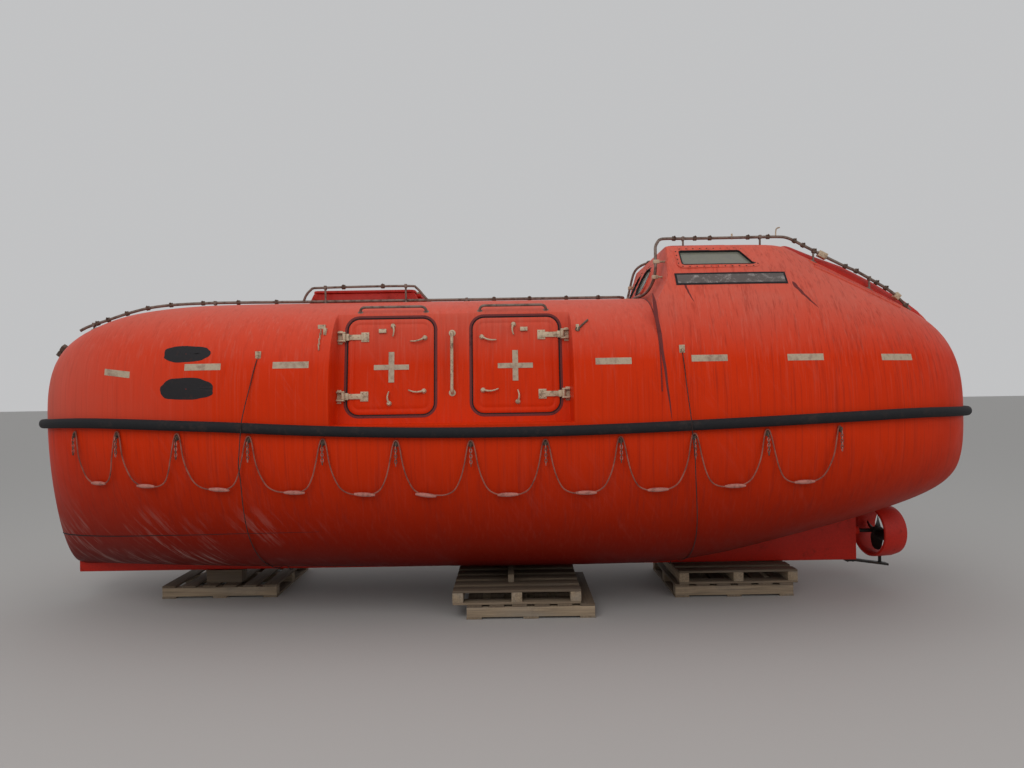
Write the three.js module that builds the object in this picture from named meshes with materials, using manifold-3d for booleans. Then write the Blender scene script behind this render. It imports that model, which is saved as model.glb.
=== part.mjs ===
// Totally enclosed lifeboat, stored on pallets: glass-fibre hull and canopy, raised steering position,
// four side doors, rubber fender, grab lines, water-spray pipes, steering nozzle and propeller.
// Millimetres. The bow points to -X, port is -Y, +Z is up and the pallets stand on z = 0.
import * as THREE from "three";
import { mergeVertices } from "three/addons/utils/BufferGeometryUtils.js";
import { LoftGeometry } from "three/addons/geometries/LoftGeometry.js";
import Module from "manifold-3d";

const wasm = await Module();
wasm.setup();

// Driving sizes of the hull: 8.5 m long, 2.9 m wide at the gunwale.
const HALF_LENGTH = 4250;
const HALF_BEAM = 1450;
const BOW_ROUND = 2300;
const STERN_ROUND = 2090;
const WALL = 45;
const SOLE_Z = 850;
const KEEL_Z = 240;
const KEEL_HALF_WIDTH = 50;
const GAP = 0.3;
// Past both ends of the hull and of its slightly larger twin.
const BEYOND = HALF_LENGTH + 1;

// Columns: x, height of the gunwale.
const SHEER = [
  [-4250, 1690],
  [-3400, 1716],
  [-2300, 1684],
  [-1500, 1641],
  [-700, 1614],
  [200, 1607],
  [1000, 1622],
  [1800, 1649],
  [2650, 1681],
  [3400, 1698],
  [4250, 1682],
];
// Columns: x, height of the bottom on the centreline, exponent of the section below the gunwale.
const BOTTOM = [
  [-4250, 1100, 1.8],
  [-4225, 700, 1.8],
  [-4180, 430, 1.8],
  [-4130, 335, 1.8],
  [-3900, 322, 1.85],
  [-3000, 320, 2.1],
  [-1500, 320, 2.45],
  [1200, 322, 2.6],
  [1800, 390, 2.65],
  [2500, 560, 2.7],
  [3200, 740, 2.8],
  [3700, 880, 2.9],
  [4000, 985, 2.9],
  [4150, 1075, 2.9],
  [4250, 1300, 2.9],
];
// Columns: x, height of the fore canopy's crest, exponent of its section.
const CREST = [
  [-4250, 1900, 2.6],
  [-4215, 2090, 2.7],
  [-4150, 2250, 2.8],
  [-4040, 2390, 2.9],
  [-3880, 2500, 3.0],
  [-3650, 2600, 3.0],
  [-3300, 2690, 3.1],
  [-2800, 2738, 3.2],
  [-2200, 2750, 3.2],
  [1500, 2750, 3.2],
];
// Columns: x, height of the steering position's crest before its roof is cut flat, exponent.
const DOME = [
  [1200, 3390, 2.1],
  [2300, 3390, 2.1],
  [2700, 3195, 2.1],
  [3200, 2935, 2.15],
  [3650, 2705, 2.25],
  [3850, 2590, 2.35],
  [4000, 2460, 2.5],
  [4120, 2290, 2.6],
  [4200, 2080, 2.7],
  [4250, 1850, 2.8],
];
const PLAN_EXPONENT = 2.12;
const ARC_STEPS = 9;
const INNER_ARC_STEPS = 5;
const MID_STEP = 620;
const OUTER_STEPS = 16;
const INNER_STEPS = 8;

// Steering position: flat roof, and the fold where it meets the fore canopy.
const FOLD_X = 1240;
const ROOF_Z = 3165;
// Its sloping front. Columns: z, x on the centreline, how far the sides fall back.
const FRONT = [
  [2600, 1235, 0],
  [2820, 1262, 100],
  [ROOF_Z, 1425, 0],
  [3500, 1600, 0],
];
const FRONT_REACH = 800;

// Door recess: a flat panel that leans inward, flush with the canopy at its top.
const RECESS = { x0: -1355, x1: 550, z0: 1672, z1: 2556, yFoot: 1262, yHead: 1118 };
const PANEL_WALL = 70;
const DOOR = { width: 702, height: 792, radius: 95, thick: 36, clear: 8, lip: 28, seat: 42 };
const DOOR_FOOT = 78;
const DOORS = [
  { name: "fore", s: -1262, sign: 1 },
  { name: "aft", s: 456, sign: -1 },
];
const HINGE_HEIGHTS = [150, 640];

const COLOURS = {
  gelcoat: [0xbe3214, 0.45, 0],
  gelcoatDark: [0x8c1c10, 0.5, 0],
  rubber: [0x17181a, 0.85, 0],
  steel: [0xb9a98c, 0.5, 0.6],
  pipe: [0x7a6a5c, 0.55, 0.6],
  bronze: [0x2b2a28, 0.5, 0.7],
  glass: [0x9aa39a, 0.1, 0],
  rope: [0x5b4038, 0.9, 0],
  wood: [0xb59d7c, 0.9, 0],
  cushion: [0x6f2a1c, 0.8, 0],
  machine: [0x59656b, 0.6, 0.3],
};
const finishes = Object.fromEntries(
  Object.entries(COLOURS).map(([name, [color, roughness, metalness]]) => [
    name,
    new THREE.MeshStandardMaterial({ name, color, roughness, metalness }),
  ]),
);

const boat = new THREE.Group();
const port = new THREE.Group();
const starboard = new THREE.Group();
starboard.scale.y = -1;
boat.add(port, starboard);
const SIDES = [
  { name: "port", group: port },
  { name: "starboard", group: starboard },
];

// Adds a named sub-part.
function place(name, geometry, finish, group = boat) {
  const mesh = new THREE.Mesh(geometry, finishes[finish]);
  mesh.name = name;
  group.add(mesh);
  return mesh;
}

// Turns a closed geometry into a solid, dropping the faces that its poles collapse.
function solid(geometry) {
  const bare = new THREE.BufferGeometry().copy(geometry);
  bare.deleteAttribute("normal");
  bare.deleteAttribute("uv");
  const merged = mergeVertices(bare, 1e-3);
  const source = merged.index.array;
  const kept = [];
  for (let i = 0; i < source.length; i += 3) {
    const [a, b, c] = source.slice(i, i + 3);
    if (a !== b && b !== c && c !== a) kept.push(a, b, c);
  }
  const faces = (triVerts) =>
    new wasm.Manifold(
      new wasm.Mesh({
        numProp: 3,
        vertProperties: merged.attributes.position.array,
        triVerts: new Uint32Array(triVerts),
      }),
    );
  const made = faces(kept);
  return made.volume() < 0 ? faces(kept.reverse()) : made;
}

// Turns a solid back into a geometry.
function shapeOf(body) {
  const mesh = body.getMesh();
  const geometry = new THREE.BufferGeometry();
  const places = new THREE.Float32BufferAttribute(mesh.vertProperties, mesh.numProp);
  geometry.setAttribute("position", places);
  geometry.setIndex(Array.from(mesh.triVerts));
  return geometry;
}

const joined = (list) => list.map(solid).reduce((all, next) => all.add(next));

// Reads a table of rows that start with x, easing between the rows.
function read(table, x, column) {
  const last = table.length - 1;
  let i = table.findIndex((row) => row[0] > x) - 1;
  if (i < 0) i = x < table[0][0] ? 0 : last - 1;
  const slope = (k) => {
    const a = table[Math.max(0, k - 1)];
    const b = table[Math.min(last, k + 1)];
    return (b[column] - a[column]) / (b[0] - a[0]);
  };
  const [p, q] = [table[i], table[i + 1]];
  const run = q[0] - p[0];
  const t = THREE.MathUtils.clamp((x - p[0]) / run, 0, 1);
  const h = [2 * t ** 3 - 3 * t ** 2 + 1, t ** 3 - 2 * t ** 2 + t];
  const k = [-2 * t ** 3 + 3 * t ** 2, t ** 3 - t ** 2];
  return h[0] * p[column] + h[1] * run * slope(i) + k[0] * q[column] + k[1] * run * slope(i + 1);
}

// Plan of the gunwale: straight amidships, a full quarter ellipse at each end.
function halfBreadth(x, inset = 0) {
  const round = x < 0 ? BOW_ROUND : STERN_ROUND;
  const past = Math.max(0, Math.abs(x) - (HALF_LENGTH - round));
  const share = Math.min(1, past / (round - inset));
  return (HALF_BEAM - inset) * (1 - share ** PLAN_EXPONENT) ** (1 / PLAN_EXPONENT);
}
const gunwale = (x) => read(SHEER, x, 1);

// Outer skins are finer than the walls' inner faces.
const archSteps = (inset) => (inset > 0 ? INNER_STEPS : OUTER_STEPS);
// Stations along the boat, closer together where the ends turn in.
function stations(from, to, inset) {
  const arcSteps = inset > 0 ? INNER_ARC_STEPS : ARC_STEPS;
  const bow = -(HALF_LENGTH - BOW_ROUND);
  const stern = HALF_LENGTH - STERN_ROUND;
  const middle = Math.round((stern - bow) / MID_STEP);
  const list = [];
  for (let i = arcSteps; i > 0; i--)
    list.push(bow - (BOW_ROUND - inset) * Math.sin(((i / arcSteps) * Math.PI) / 2));
  for (let i = 0; i <= middle; i++) list.push(bow + ((stern - bow) * i) / middle);
  list.push(FOLD_X);
  for (let i = 1; i <= arcSteps; i++)
    list.push(stern + (STERN_ROUND - inset) * Math.sin(((i / arcSteps) * Math.PI) / 2));
  list.sort((a, b) => a - b);
  const inner = list.filter((x) => x > from + 25 && x < to - 25);
  return [Math.max(from, list[0]), ...inner, Math.min(to, list[list.length - 1])];
}

// Half a section as a superellipse, from one gunwale over to the other; depth is negative below.
function arch(x, half, depth, exponent, steps, foot) {
  const points = [];
  for (let j = 0; j <= steps; j++) {
    const angle = (j / steps) * Math.PI;
    const across = Math.abs(Math.cos(angle)) ** (2 / exponent) * Math.sign(Math.cos(angle));
    const up = j % steps === 0 ? 0 : Math.sin(angle) ** (2 / exponent);
    points.push(new THREE.Vector3(x, half * (j * 2 === steps ? 0 : across), foot + depth * up));
  }
  return points;
}

// Splits the faces of one half of each section the other way, so that port and starboard match.
function mirrorFaces(geometry, columns, rows) {
  const index = geometry.index.array;
  for (let row = 0; row < rows - 1; row++)
    for (let j = Math.ceil((columns - 1) / 2); j < columns - 1; j++) {
      const at = 6 * (row * columns + j);
      const [a, b, d, , c] = index.slice(at, at + 6);
      index.set([a, b, c, a, c, d], at);
    }
  return geometry;
}
// A loft through sections, each turned to run the same way round the direction of travel.
function loft(sections, capStart = true, capEnd = true) {
  const sum = (points) => points.reduce((total, p) => total.add(p), new THREE.Vector3());
  const middle = (points) => sum(points).divideScalar(points.length);
  const widest = sections[Math.floor(sections.length / 2)];
  const normal = widest.reduce(
    (sum, p, i) => sum.add(new THREE.Vector3().crossVectors(p, widest[(i + 1) % widest.length])),
    new THREE.Vector3(),
  );
  const travel = middle(sections[sections.length - 1]).sub(middle(sections[0]));
  const ordered = normal.dot(travel) < 0 ? sections.map((points) => [...points].reverse()) : sections;
  const geometry = new LoftGeometry(ordered, { capStart, capEnd });
  return mirrorFaces(geometry, ordered[0].length, ordered.length);
}
// A loft that is capped where its end section is open, and closed by itself at the stem and stern.
function skinned(sections) {
  const open = (points) => points[0].y > 1;
  return solid(loft(sections, open(sections[0]), open(sections[sections.length - 1])));
}

// The upper works: sections that stand on the gunwale, or below it by sink.
function upperLoft(table, from, to, inset, sink) {
  const sections = stations(from, to, inset).map((x) => {
    const outer = (x * HALF_LENGTH) / (HALF_LENGTH - inset);
    const foot = gunwale(x) + GAP / 2;
    const depth = read(table, outer, 1) - inset - foot;
    const half = halfBreadth(x, inset);
    const points = arch(x, half, depth, read(table, outer, 2), archSteps(inset), foot);
    if (sink) {
      points.unshift(new THREE.Vector3(x, half, foot - sink));
      points.push(new THREE.Vector3(x, -half, foot - sink));
    }
    return points;
  });
  return skinned(sections);
}

// The hull below the gunwale, or the space inside it, which rises above the gunwale by rise.
function lowerLoft(inset, rise) {
  const sections = stations(-BEYOND, BEYOND, inset).map((x) => {
    const outer = (x * HALF_LENGTH) / (HALF_LENGTH - inset);
    const foot = gunwale(x) - GAP / 2;
    const depth = read(BOTTOM, outer, 1) + inset - foot;
    const half = halfBreadth(x, inset);
    const points = arch(x, half, depth, read(BOTTOM, outer, 2), archSteps(inset), foot);
    if (rise) {
      points.unshift(new THREE.Vector3(x, half, foot + rise));
      points.push(new THREE.Vector3(x, -half, foot + rise));
    }
    return points;
  });
  return skinned(sections);
}

// Distance from the centreline to the outer skin at x and z, from the same superellipses.
function skinY(table, x, z) {
  const foot = gunwale(x);
  const depth = read(table, x, 1) - foot;
  const share = Math.min(1, Math.abs((z - foot) / depth));
  const exponent = read(table, x, 2);
  return halfBreadth(x) * (1 - share ** exponent) ** (1 / exponent);
}
// Height of the outer skin at x and y.
function skinZ(table, x, y) {
  const foot = gunwale(x);
  const depth = read(table, x, 1) - foot;
  const exponent = read(table, x, 2);
  const share = Math.min(1, Math.abs(y) / halfBreadth(x));
  return foot + depth * (1 - share ** exponent) ** (1 / exponent);
}

const shapeFrom = (points) => new THREE.Shape(points.map(([a, b]) => new THREE.Vector2(a, b)));
function extrude(shape, depth, curveSegments = 6) {
  return new THREE.ExtrudeGeometry(shape, { depth, bevelEnabled: false, curveSegments });
}
// A prism whose outline is given in y and z, from x0 to x1.
function alongX(points, x0, x1) {
  const turn = new THREE.Matrix4().set(0, 0, 1, x0, 1, 0, 0, 0, 0, 1, 0, 0, 0, 0, 0, 1);
  return extrude(shapeFrom(points), x1 - x0).applyMatrix4(turn);
}
// A prism whose outline is given in x and z, from y0 to y1.
function alongY(points, y0, y1) {
  const turn = new THREE.Matrix4().set(1, 0, 0, 0, 0, 0, -1, y1, 0, 1, 0, 0, 0, 0, 0, 1);
  return extrude(shapeFrom(points), y1 - y0).applyMatrix4(turn);
}
function box(x0, x1, y0, y1, z0, z1) {
  const block = new THREE.BoxGeometry(x1 - x0, y1 - y0, z1 - z0);
  return block.translate((x0 + x1) / 2, (y0 + y1) / 2, (z0 + z1) / 2);
}
function roundedShape(x0, x1, y0, y1, r) {
  const shape = new THREE.Shape();
  shape.moveTo(x0 + r, y0);
  shape.lineTo(x1 - r, y0);
  shape.absarc(x1 - r, y0 + r, r, -Math.PI / 2, 0);
  shape.lineTo(x1, y1 - r);
  shape.absarc(x1 - r, y1 - r, r, 0, Math.PI / 2);
  shape.lineTo(x0 + r, y1);
  shape.absarc(x0 + r, y1 - r, r, Math.PI / 2, Math.PI);
  shape.lineTo(x0, y0 + r);
  shape.absarc(x0 + r, y0 + r, r, Math.PI, Math.PI * 1.5);
  return shape;
}

// A route through given points, met exactly at its steps.
class Route extends THREE.Curve {
  constructor(points) {
    super();
    this.points = points;
  }
  getPointAt(u, target = new THREE.Vector3()) {
    return target.copy(this.points[Math.round(u * (this.points.length - 1))]);
  }
  getTangentAt(u, target = new THREE.Vector3()) {
    const i = Math.round(u * (this.points.length - 1));
    const before = this.points[Math.max(0, i - 1)];
    const after = this.points[Math.min(this.points.length - 1, i + 1)];
    return target.subVectors(after, before).normalize();
  }
}
function roundSection(radius, sides) {
  const turn = (i) => ((i + 0.5) / sides) * Math.PI * 2;
  const corners = Array.from({ length: sides }, (_, i) => [
    radius * Math.cos(turn(i)),
    radius * Math.sin(turn(i)),
  ]);
  return shapeFrom(corners);
}
function tube(points, radius, sides = 6) {
  const extrudePath = new Route(points);
  const steps = points.length - 1;
  return new THREE.ExtrudeGeometry(roundSection(radius, sides), {
    steps,
    bevelEnabled: false,
    extrudePath,
  });
}
// Points along straight runs with each corner rounded by a short arc.
function bent(corners, radius, arcSteps = 3) {
  const points = corners.map((c) => new THREE.Vector3(...c));
  const list = [points[0]];
  for (let i = 1; i < points.length - 1; i++) {
    const [a, b, c] = [points[i - 1], points[i], points[i + 1]];
    const reach = Math.min(radius, a.distanceTo(b) * 0.45, b.distanceTo(c) * 0.45);
    const start = b.clone().lerp(a, reach / a.distanceTo(b));
    const end = b.clone().lerp(c, reach / b.distanceTo(c));
    const curve = new THREE.QuadraticBezierCurve3(start, b, end);
    for (let k = 0; k <= arcSteps; k++) list.push(curve.getPoint(k / arcSteps));
  }
  list.push(points[points.length - 1]);
  return list;
}
// A cylinder between two places.
function rod(from, to, radius, sides = 8) {
  const a = new THREE.Vector3(...from);
  const b = new THREE.Vector3(...to);
  const up = new THREE.Vector3(0, 1, 0);
  const turn = new THREE.Quaternion().setFromUnitVectors(up, b.clone().sub(a).normalize());
  const shape = new THREE.CylinderGeometry(radius, radius, a.distanceTo(b), sides);
  const middle = a.clone().add(b).multiplyScalar(0.5);
  return shape.applyQuaternion(turn).translate(middle.x, middle.y, middle.z);
}

// Both door recesses, as cutters: the open space, the wall kept round it, and the door openings.
const lean = Math.atan2(RECESS.yFoot - RECESS.yHead, RECESS.z1 - RECESS.z0);
function recess(grow) {
  const deep = grow / Math.cos(lean);
  const away = HALF_BEAM + 100;
  const down = grow > 0 ? RECESS.z0 - gunwale(0) : 0;
  const rise = (RECESS.yFoot - RECESS.yHead) / (RECESS.z1 - RECESS.z0);
  const foot = RECESS.yFoot + down * rise - deep;
  const head = RECESS.yHead - grow * rise - deep;
  return alongX(
    [
      [-foot, RECESS.z0 - down],
      [-away, RECESS.z0 - down],
      [-away, RECESS.z1 + grow],
      [-head, RECESS.z1 + grow],
    ],
    RECESS.x0 - grow,
    RECESS.x1 + grow,
  );
}
// Frame of the port panel: x along the boat, y up the panel, z outward.
const panelFrame = new THREE.Matrix4()
  .makeBasis(
    new THREE.Vector3(1, 0, 0),
    new THREE.Vector3(0, Math.sin(lean), Math.cos(lean)),
    new THREE.Vector3(0, -Math.cos(lean), Math.sin(lean)),
  )
  .setPosition(0, -RECESS.yFoot, RECESS.z0);
function doorPrism(door, margin, inner, outer) {
  const x0 = door.sign > 0 ? door.s : door.s - DOOR.width;
  const outline = roundedShape(
    x0 - margin,
    x0 + DOOR.width + margin,
    DOOR_FOOT - margin,
    DOOR_FOOT + DOOR.height + margin,
    DOOR.radius + margin,
  );
  return extrude(outline, outer - inner, 3).translate(0, 0, inner);
}
const mirroredY = new THREE.Matrix4().makeScale(1, -1, 1);
// A port cutter together with its starboard twin.
function bothSides(geometry) {
  const twin = new THREE.BufferGeometry().copy(geometry).applyMatrix4(mirroredY);
  return solid(geometry).add(solid(twin));
}

// Hull: solid up to the cabin sole, a wall above it.
const halfSpace = (x0, x1, z0, z1) => solid(box(x0, x1, -2000, 2000, z0, z1));
const hullSpace = lowerLoft(WALL, 40).intersect(halfSpace(-5000, 5000, SOLE_Z, 4000));
let hull = lowerLoft(0, 0).subtract(hullSpace);

// Propulsion: the nozzle turns about an upright axis behind the skeg.
const PIVOT_X = 3620;
const SHAFT_Z = 513;

// Eyes for the grab lines, below the fender. Columns: x of each eye on either side.
const EYE_X = [-3546, -3089, -2554, -1981, -1405, -837, -256, 323, 907, 1480, 2047, 2626];
const EYE_DROP = 92;
const EYE_RADIUS = 13;
const ROPE_RADIUS = 6;
const CORD_SIDES = 8;
const eyeAt = (x) => {
  const z = gunwale(x) - EYE_DROP;
  return new THREE.Vector3(x, -skinY(BOTTOM, x, z), z);
};
for (const x of EYE_X) {
  const { y, z } = eyeAt(x);
  hull = hull.add(bothSides(rod([x, y + 25, z], [x, y - 2.4 * ROPE_RADIUS, z], EYE_RADIUS, 6)));
}
const TRUNK = { radius: 46, z0: 800, z1: 960 };
hull = hull.add(solid(rod([PIVOT_X, 0, TRUNK.z0], [PIVOT_X, 0, TRUNK.z1], TRUNK.radius, 16)));
place("hull", shapeOf(hull), "gelcoat");

// Fore canopy: shell, door recesses with their openings, fore hatch coaming and pad eyes.
const HATCH = { x0: -1737, x1: -815, half: 400, rise: 92, wall: 30, slope: 60 };
const hatchZ = read(CREST, -1300, 1);
function hatchBlock(inset, z0, z1) {
  const [a, b] = [HATCH.x0 + inset, HATCH.x1 - inset];
  const half = HATCH.half - inset;
  const foot = HATCH.slope;
  const lower = [
    [a - foot, z0],
    [b + foot, z0],
    [b, z1],
    [a, z1],
  ];
  return solid(alongY(lower, -half, half));
}
// Lifting hooks stand in open wells on the centreline.
const WELL = { half: 170, long: 420, deep: 270 };
const HOOKS = [
  { name: "fore", x: -3150, table: CREST },
  { name: "aft", x: 3130, table: DOME },
];
function well({ x, table }, grow) {
  const floor = read(table, x, 1) - WELL.deep - grow;
  const reach = WELL.long / 2 + grow;
  return solid(box(x - reach, x + reach, -WELL.half - grow, WELL.half + grow, floor, 4000));
}
// Each securing line leaves its pad eye at x, and drifts along the boat on its way down.
const LINES = [
  {
    name: "fore",
    x: -1918,
    drift: [
      [240, -165],
      [700, -160],
      [1100, -135],
      [1700, -95],
      [2235, 0],
    ],
  },
  {
    name: "aft",
    x: 1412,
    drift: [
      [240, 150],
      [700, 128],
      [1100, 82],
      [1700, 30],
      [2235, 0],
    ],
  },
];
const LINE_Z = 2235;
const PAD_EYE = { long: 22, out: 26, sink: 40, half: 32 };
function padEye(table, x) {
  const y = -skinY(table, x, LINE_Z);
  const { long, out, sink, half } = PAD_EYE;
  return box(x - long, x + long, y - out, y + sink, LINE_Z - half, LINE_Z + half);
}

let foreShell = upperLoft(CREST, -BEYOND, FOLD_X - GAP / 2, 0, 0);
foreShell = foreShell.subtract(bothSides(recess(0))).subtract(well(HOOKS[0], 0));
let foreSpace = upperLoft(CREST, -BEYOND, FOLD_X + 60, WALL, 40);
foreSpace = foreSpace.subtract(bothSides(recess(PANEL_WALL))).subtract(well(HOOKS[0], WALL));
foreShell = foreShell.subtract(foreSpace);
const underRoof = foreSpace.intersect(halfSpace(-5000, 5000, 0, hatchZ - 40));
foreShell = foreShell.add(hatchBlock(0, hatchZ - 90, hatchZ + HATCH.rise).subtract(underRoof));
foreShell = foreShell.subtract(hatchBlock(HATCH.wall + HATCH.slope, hatchZ - 200, hatchZ + HATCH.rise + 50));
for (const door of DOORS) {
  const seat = doorPrism(door, DOOR.clear, -DOOR.seat, 60).applyMatrix4(panelFrame);
  const through = doorPrism(door, -DOOR.lip, -200, 0).applyMatrix4(panelFrame);
  foreShell = foreShell.subtract(bothSides(seat)).subtract(bothSides(through));
}
foreShell = foreShell.add(bothSides(padEye(CREST, LINES[0].x)));
place("canopy_fore", shapeOf(foreShell), "gelcoat");

// Steering position and aft canopy: domed shell with a flat roof and a sloping front.
function frontX(y, z) {
  const row = Math.max(1, FRONT.findIndex(([at]) => at >= z));
  const [[z0, x0, back0], [z1, x1, back1]] = [FRONT[row - 1], FRONT[row]];
  const share = (z - z0) / (z1 - z0);
  const back = THREE.MathUtils.lerp(back0, back1, share) * Math.min(1, Math.abs(y) / FRONT_REACH) ** 2;
  return THREE.MathUtils.lerp(x0, x1, share) + back;
}
const FRONT_ACROSS = [-1500, -800, -600, -400, -200, 0, 200, 400, 600, 800, 1500];
function frontCut(inset) {
  const sections = FRONT.map(([z]) => [
    ...FRONT_ACROSS.map((y) => new THREE.Vector3(frontX(y, z) + inset * 1.13, y, z)),
    new THREE.Vector3(600, 1500, z),
    new THREE.Vector3(600, -1500, z),
  ]);
  return solid(loft(sections));
}
const aftOuter = upperLoft(DOME, FOLD_X + GAP / 2, BEYOND, 0, 0)
  .subtract(frontCut(0))
  .subtract(halfSpace(0, 5000, ROOF_Z, 4500));
const aftInner = upperLoft(DOME, FOLD_X + WALL, BEYOND, WALL, 40)
  .subtract(frontCut(WALL))
  .subtract(halfSpace(0, 5000, ROOF_Z - WALL, 4500));
const passage = upperLoft(CREST, FOLD_X - 200, FOLD_X + 200, WALL, 40);

// Side windows lie in a plane that leans inward; front windows lie in the sloping front.
function planeFrame(origin, alongAxis, upAxis) {
  const along = new THREE.Vector3(...alongAxis).normalize();
  const out = new THREE.Vector3().crossVectors(along, new THREE.Vector3(...upAxis)).normalize();
  const up = new THREE.Vector3().crossVectors(out, along);
  return new THREE.Matrix4().makeBasis(along, up, out).setPosition(...origin);
}
const PANE_THICK = 8;
const sideY = (z) => skinY(DOME, 1700, z);
const WINDOWS = [
  {
    name: "side_window",
    frame: planeFrame([1545, -sideY(2965), 2965], [1, 0, 0], [0, sideY(2965) - sideY(3120), 155]),
    outline: [
      [0, 0],
      [660, 0],
      [545, 200],
      [0, 200],
    ],
  },
  {
    name: "front_window",
    frame: planeFrame([frontX(-240, 2925), -240, 2925], [0.04, -1, 0], [0.47, 0, 1]),
    outline: [
      [-100, -130],
      [100, -130],
      [170, -60],
      [170, 60],
      [100, 130],
      [-100, 130],
      [-170, 60],
      [-170, -60],
    ],
  },
];
function windowPrism(pane, grow, inner, outer) {
  const share = 1 / pane.outline.length;
  const middle = pane.outline.reduce(([a, b], [u, v]) => [a + u * share, b + v * share], [0, 0]);
  const points = pane.outline.map(([u, v]) => [
    u + Math.sign(u - middle[0]) * grow,
    v + Math.sign(v - middle[1]) * grow,
  ]);
  return extrude(shapeFrom(points), outer - inner).translate(0, 0, inner).applyMatrix4(pane.frame);
}
const ROOF_HATCH = { x0: 1534, x1: 2112, half: 300, lid: 40, coaming: 50, radius: 60 };
const roofRing = extrude(
  roundedShape(ROOF_HATCH.x0 - 30, ROOF_HATCH.x1 + 30, -ROOF_HATCH.half - 30, ROOF_HATCH.half + 30, 80),
  ROOF_HATCH.coaming + 20,
).translate(0, 0, ROOF_Z - 20);
const roofHole = extrude(
  roundedShape(ROOF_HATCH.x0 + 35, ROOF_HATCH.x1 - 35, -ROOF_HATCH.half + 35, ROOF_HATCH.half - 35, 50),
  400,
).translate(0, 0, ROOF_Z - 200);

// A long foothold sunk in each shoulder of the aft slope.
const FOOTHOLD = { from: [2700, 700, 2985], to: [3450, 650, 2600], deep: 60, tall: 150 };
function foothold(grow) {
  const profile = ([x, y, z], end) => {
    const at = x + end * grow;
    const [low, high] = [z - grow, z + FOOTHOLD.tall + 60];
    return [
      new THREE.Vector3(at, -y - 300, low),
      new THREE.Vector3(at, -y - 300, high),
      new THREE.Vector3(at, -y + FOOTHOLD.deep + grow + 60, high),
      new THREE.Vector3(at, -y + FOOTHOLD.deep + grow, low),
    ];
  };
  const sections = [profile(FOOTHOLD.from, -1), profile(FOOTHOLD.to, 1)];
  return loft(sections);
}
const footholds = bothSides(foothold(0));
const footholdWalls = bothSides(foothold(WALL));
let aftShell = aftOuter.subtract(footholds).subtract(well(HOOKS[1], 0));
aftShell = aftShell.subtract(aftInner.subtract(footholdWalls).subtract(well(HOOKS[1], WALL)));
aftShell = aftShell.subtract(passage);
aftShell = aftShell.add(solid(roofRing)).subtract(solid(roofHole));
for (const pane of WINDOWS) aftShell = aftShell.subtract(bothSides(windowPrism(pane, 0, -150, 150)));
aftShell = aftShell.add(bothSides(padEye(DOME, LINES[1].x)));
place("canopy_aft", shapeOf(aftShell), "gelcoat");

// Outer form of the boat, grown by the gap, which trims whatever is seated on it.
const foreBulk = upperLoft(CREST, -BEYOND, FOLD_X, -GAP, 0)
  .subtract(bothSides(recess(-GAP)))
  .add(hatchBlock(-GAP, hatchZ - 90, hatchZ + HATCH.rise + GAP));
const aftBulk = upperLoft(DOME, FOLD_X - GAP, BEYOND, -GAP, 0)
  .subtract(frontCut(-GAP))
  .subtract(halfSpace(0, 5000, ROOF_Z + GAP, 4500));
const hullBulk = lowerLoft(-GAP, 20);
const seated = (geometry, bulk) => shapeOf(solid(geometry).subtract(bulk));
const seatedAll = (list, bulk) => shapeOf(joined(list).subtract(bulk));

// Rubber fender round the gunwale: a D section carried along the plan.
const FENDER = { half: 40, out: 66 };
const fenderProfile = [
  [GAP, -FENDER.half],
  [34, -FENDER.half],
  [FENDER.out, -16],
  [FENDER.out, 16],
  [34, FENDER.half],
  [GAP, FENDER.half],
];
const planSide = stations(-HALF_LENGTH, HALF_LENGTH, 0).map((x) => [x, halfBreadth(x)]);
const plan = [...planSide.map(([x, y]) => [x, -y]), ...planSide.slice(1, -1).reverse()];
const fenderSections = plan.map(([x, y], i) => {
  const before = plan[(i + plan.length - 1) % plan.length];
  const after = plan[(i + 1) % plan.length];
  const out = ([ax, ay], [bx, by]) => new THREE.Vector2(by - ay, ax - bx).normalize();
  const [n, m] = [out(before, [x, y]), out([x, y], after)];
  const miter = n.clone().add(m).normalize();
  const stretch = 1 / miter.dot(n);
  return fenderProfile.map(([reach, rise]) => {
    const step = reach * stretch;
    return new THREE.Vector3(x + miter.x * step, y + miter.y * step, gunwale(x) + rise);
  });
});
fenderSections.push(fenderSections[0].map((point) => point.clone()));
place("fender", shapeOf(solid(new LoftGeometry(fenderSections))), "rubber");

// Keel and skeg in one plate, its top trimmed by the hull, with the boss of the propeller shaft.
const SKEG_AFT = 3370;
const STEM_FOOT = -4130;
const KEEL_SINK = 30;
const keelStations = stations(-HALF_LENGTH, HALF_LENGTH, 0).filter((x) => x > STEM_FOOT && x < SKEG_AFT);
const keelTop = [STEM_FOOT - 32, ...keelStations, SKEG_AFT].map((x) => [x, read(BOTTOM, x, 1) + KEEL_SINK]);
const keelOutline = [[STEM_FOOT, KEEL_Z], ...keelTop, [SKEG_AFT, KEEL_Z]];
const BOSS = { radius: 44, x0: 3180, x1: 3410 };
const keel = solid(alongY(keelOutline, -KEEL_HALF_WIDTH, KEEL_HALF_WIDTH))
  .add(solid(rod([BOSS.x0, 0, SHAFT_Z], [BOSS.x1, 0, SHAFT_Z], BOSS.radius, 12)))
  .subtract(hullBulk);
place("keel_skeg", shapeOf(keel), "gelcoatDark");

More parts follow.
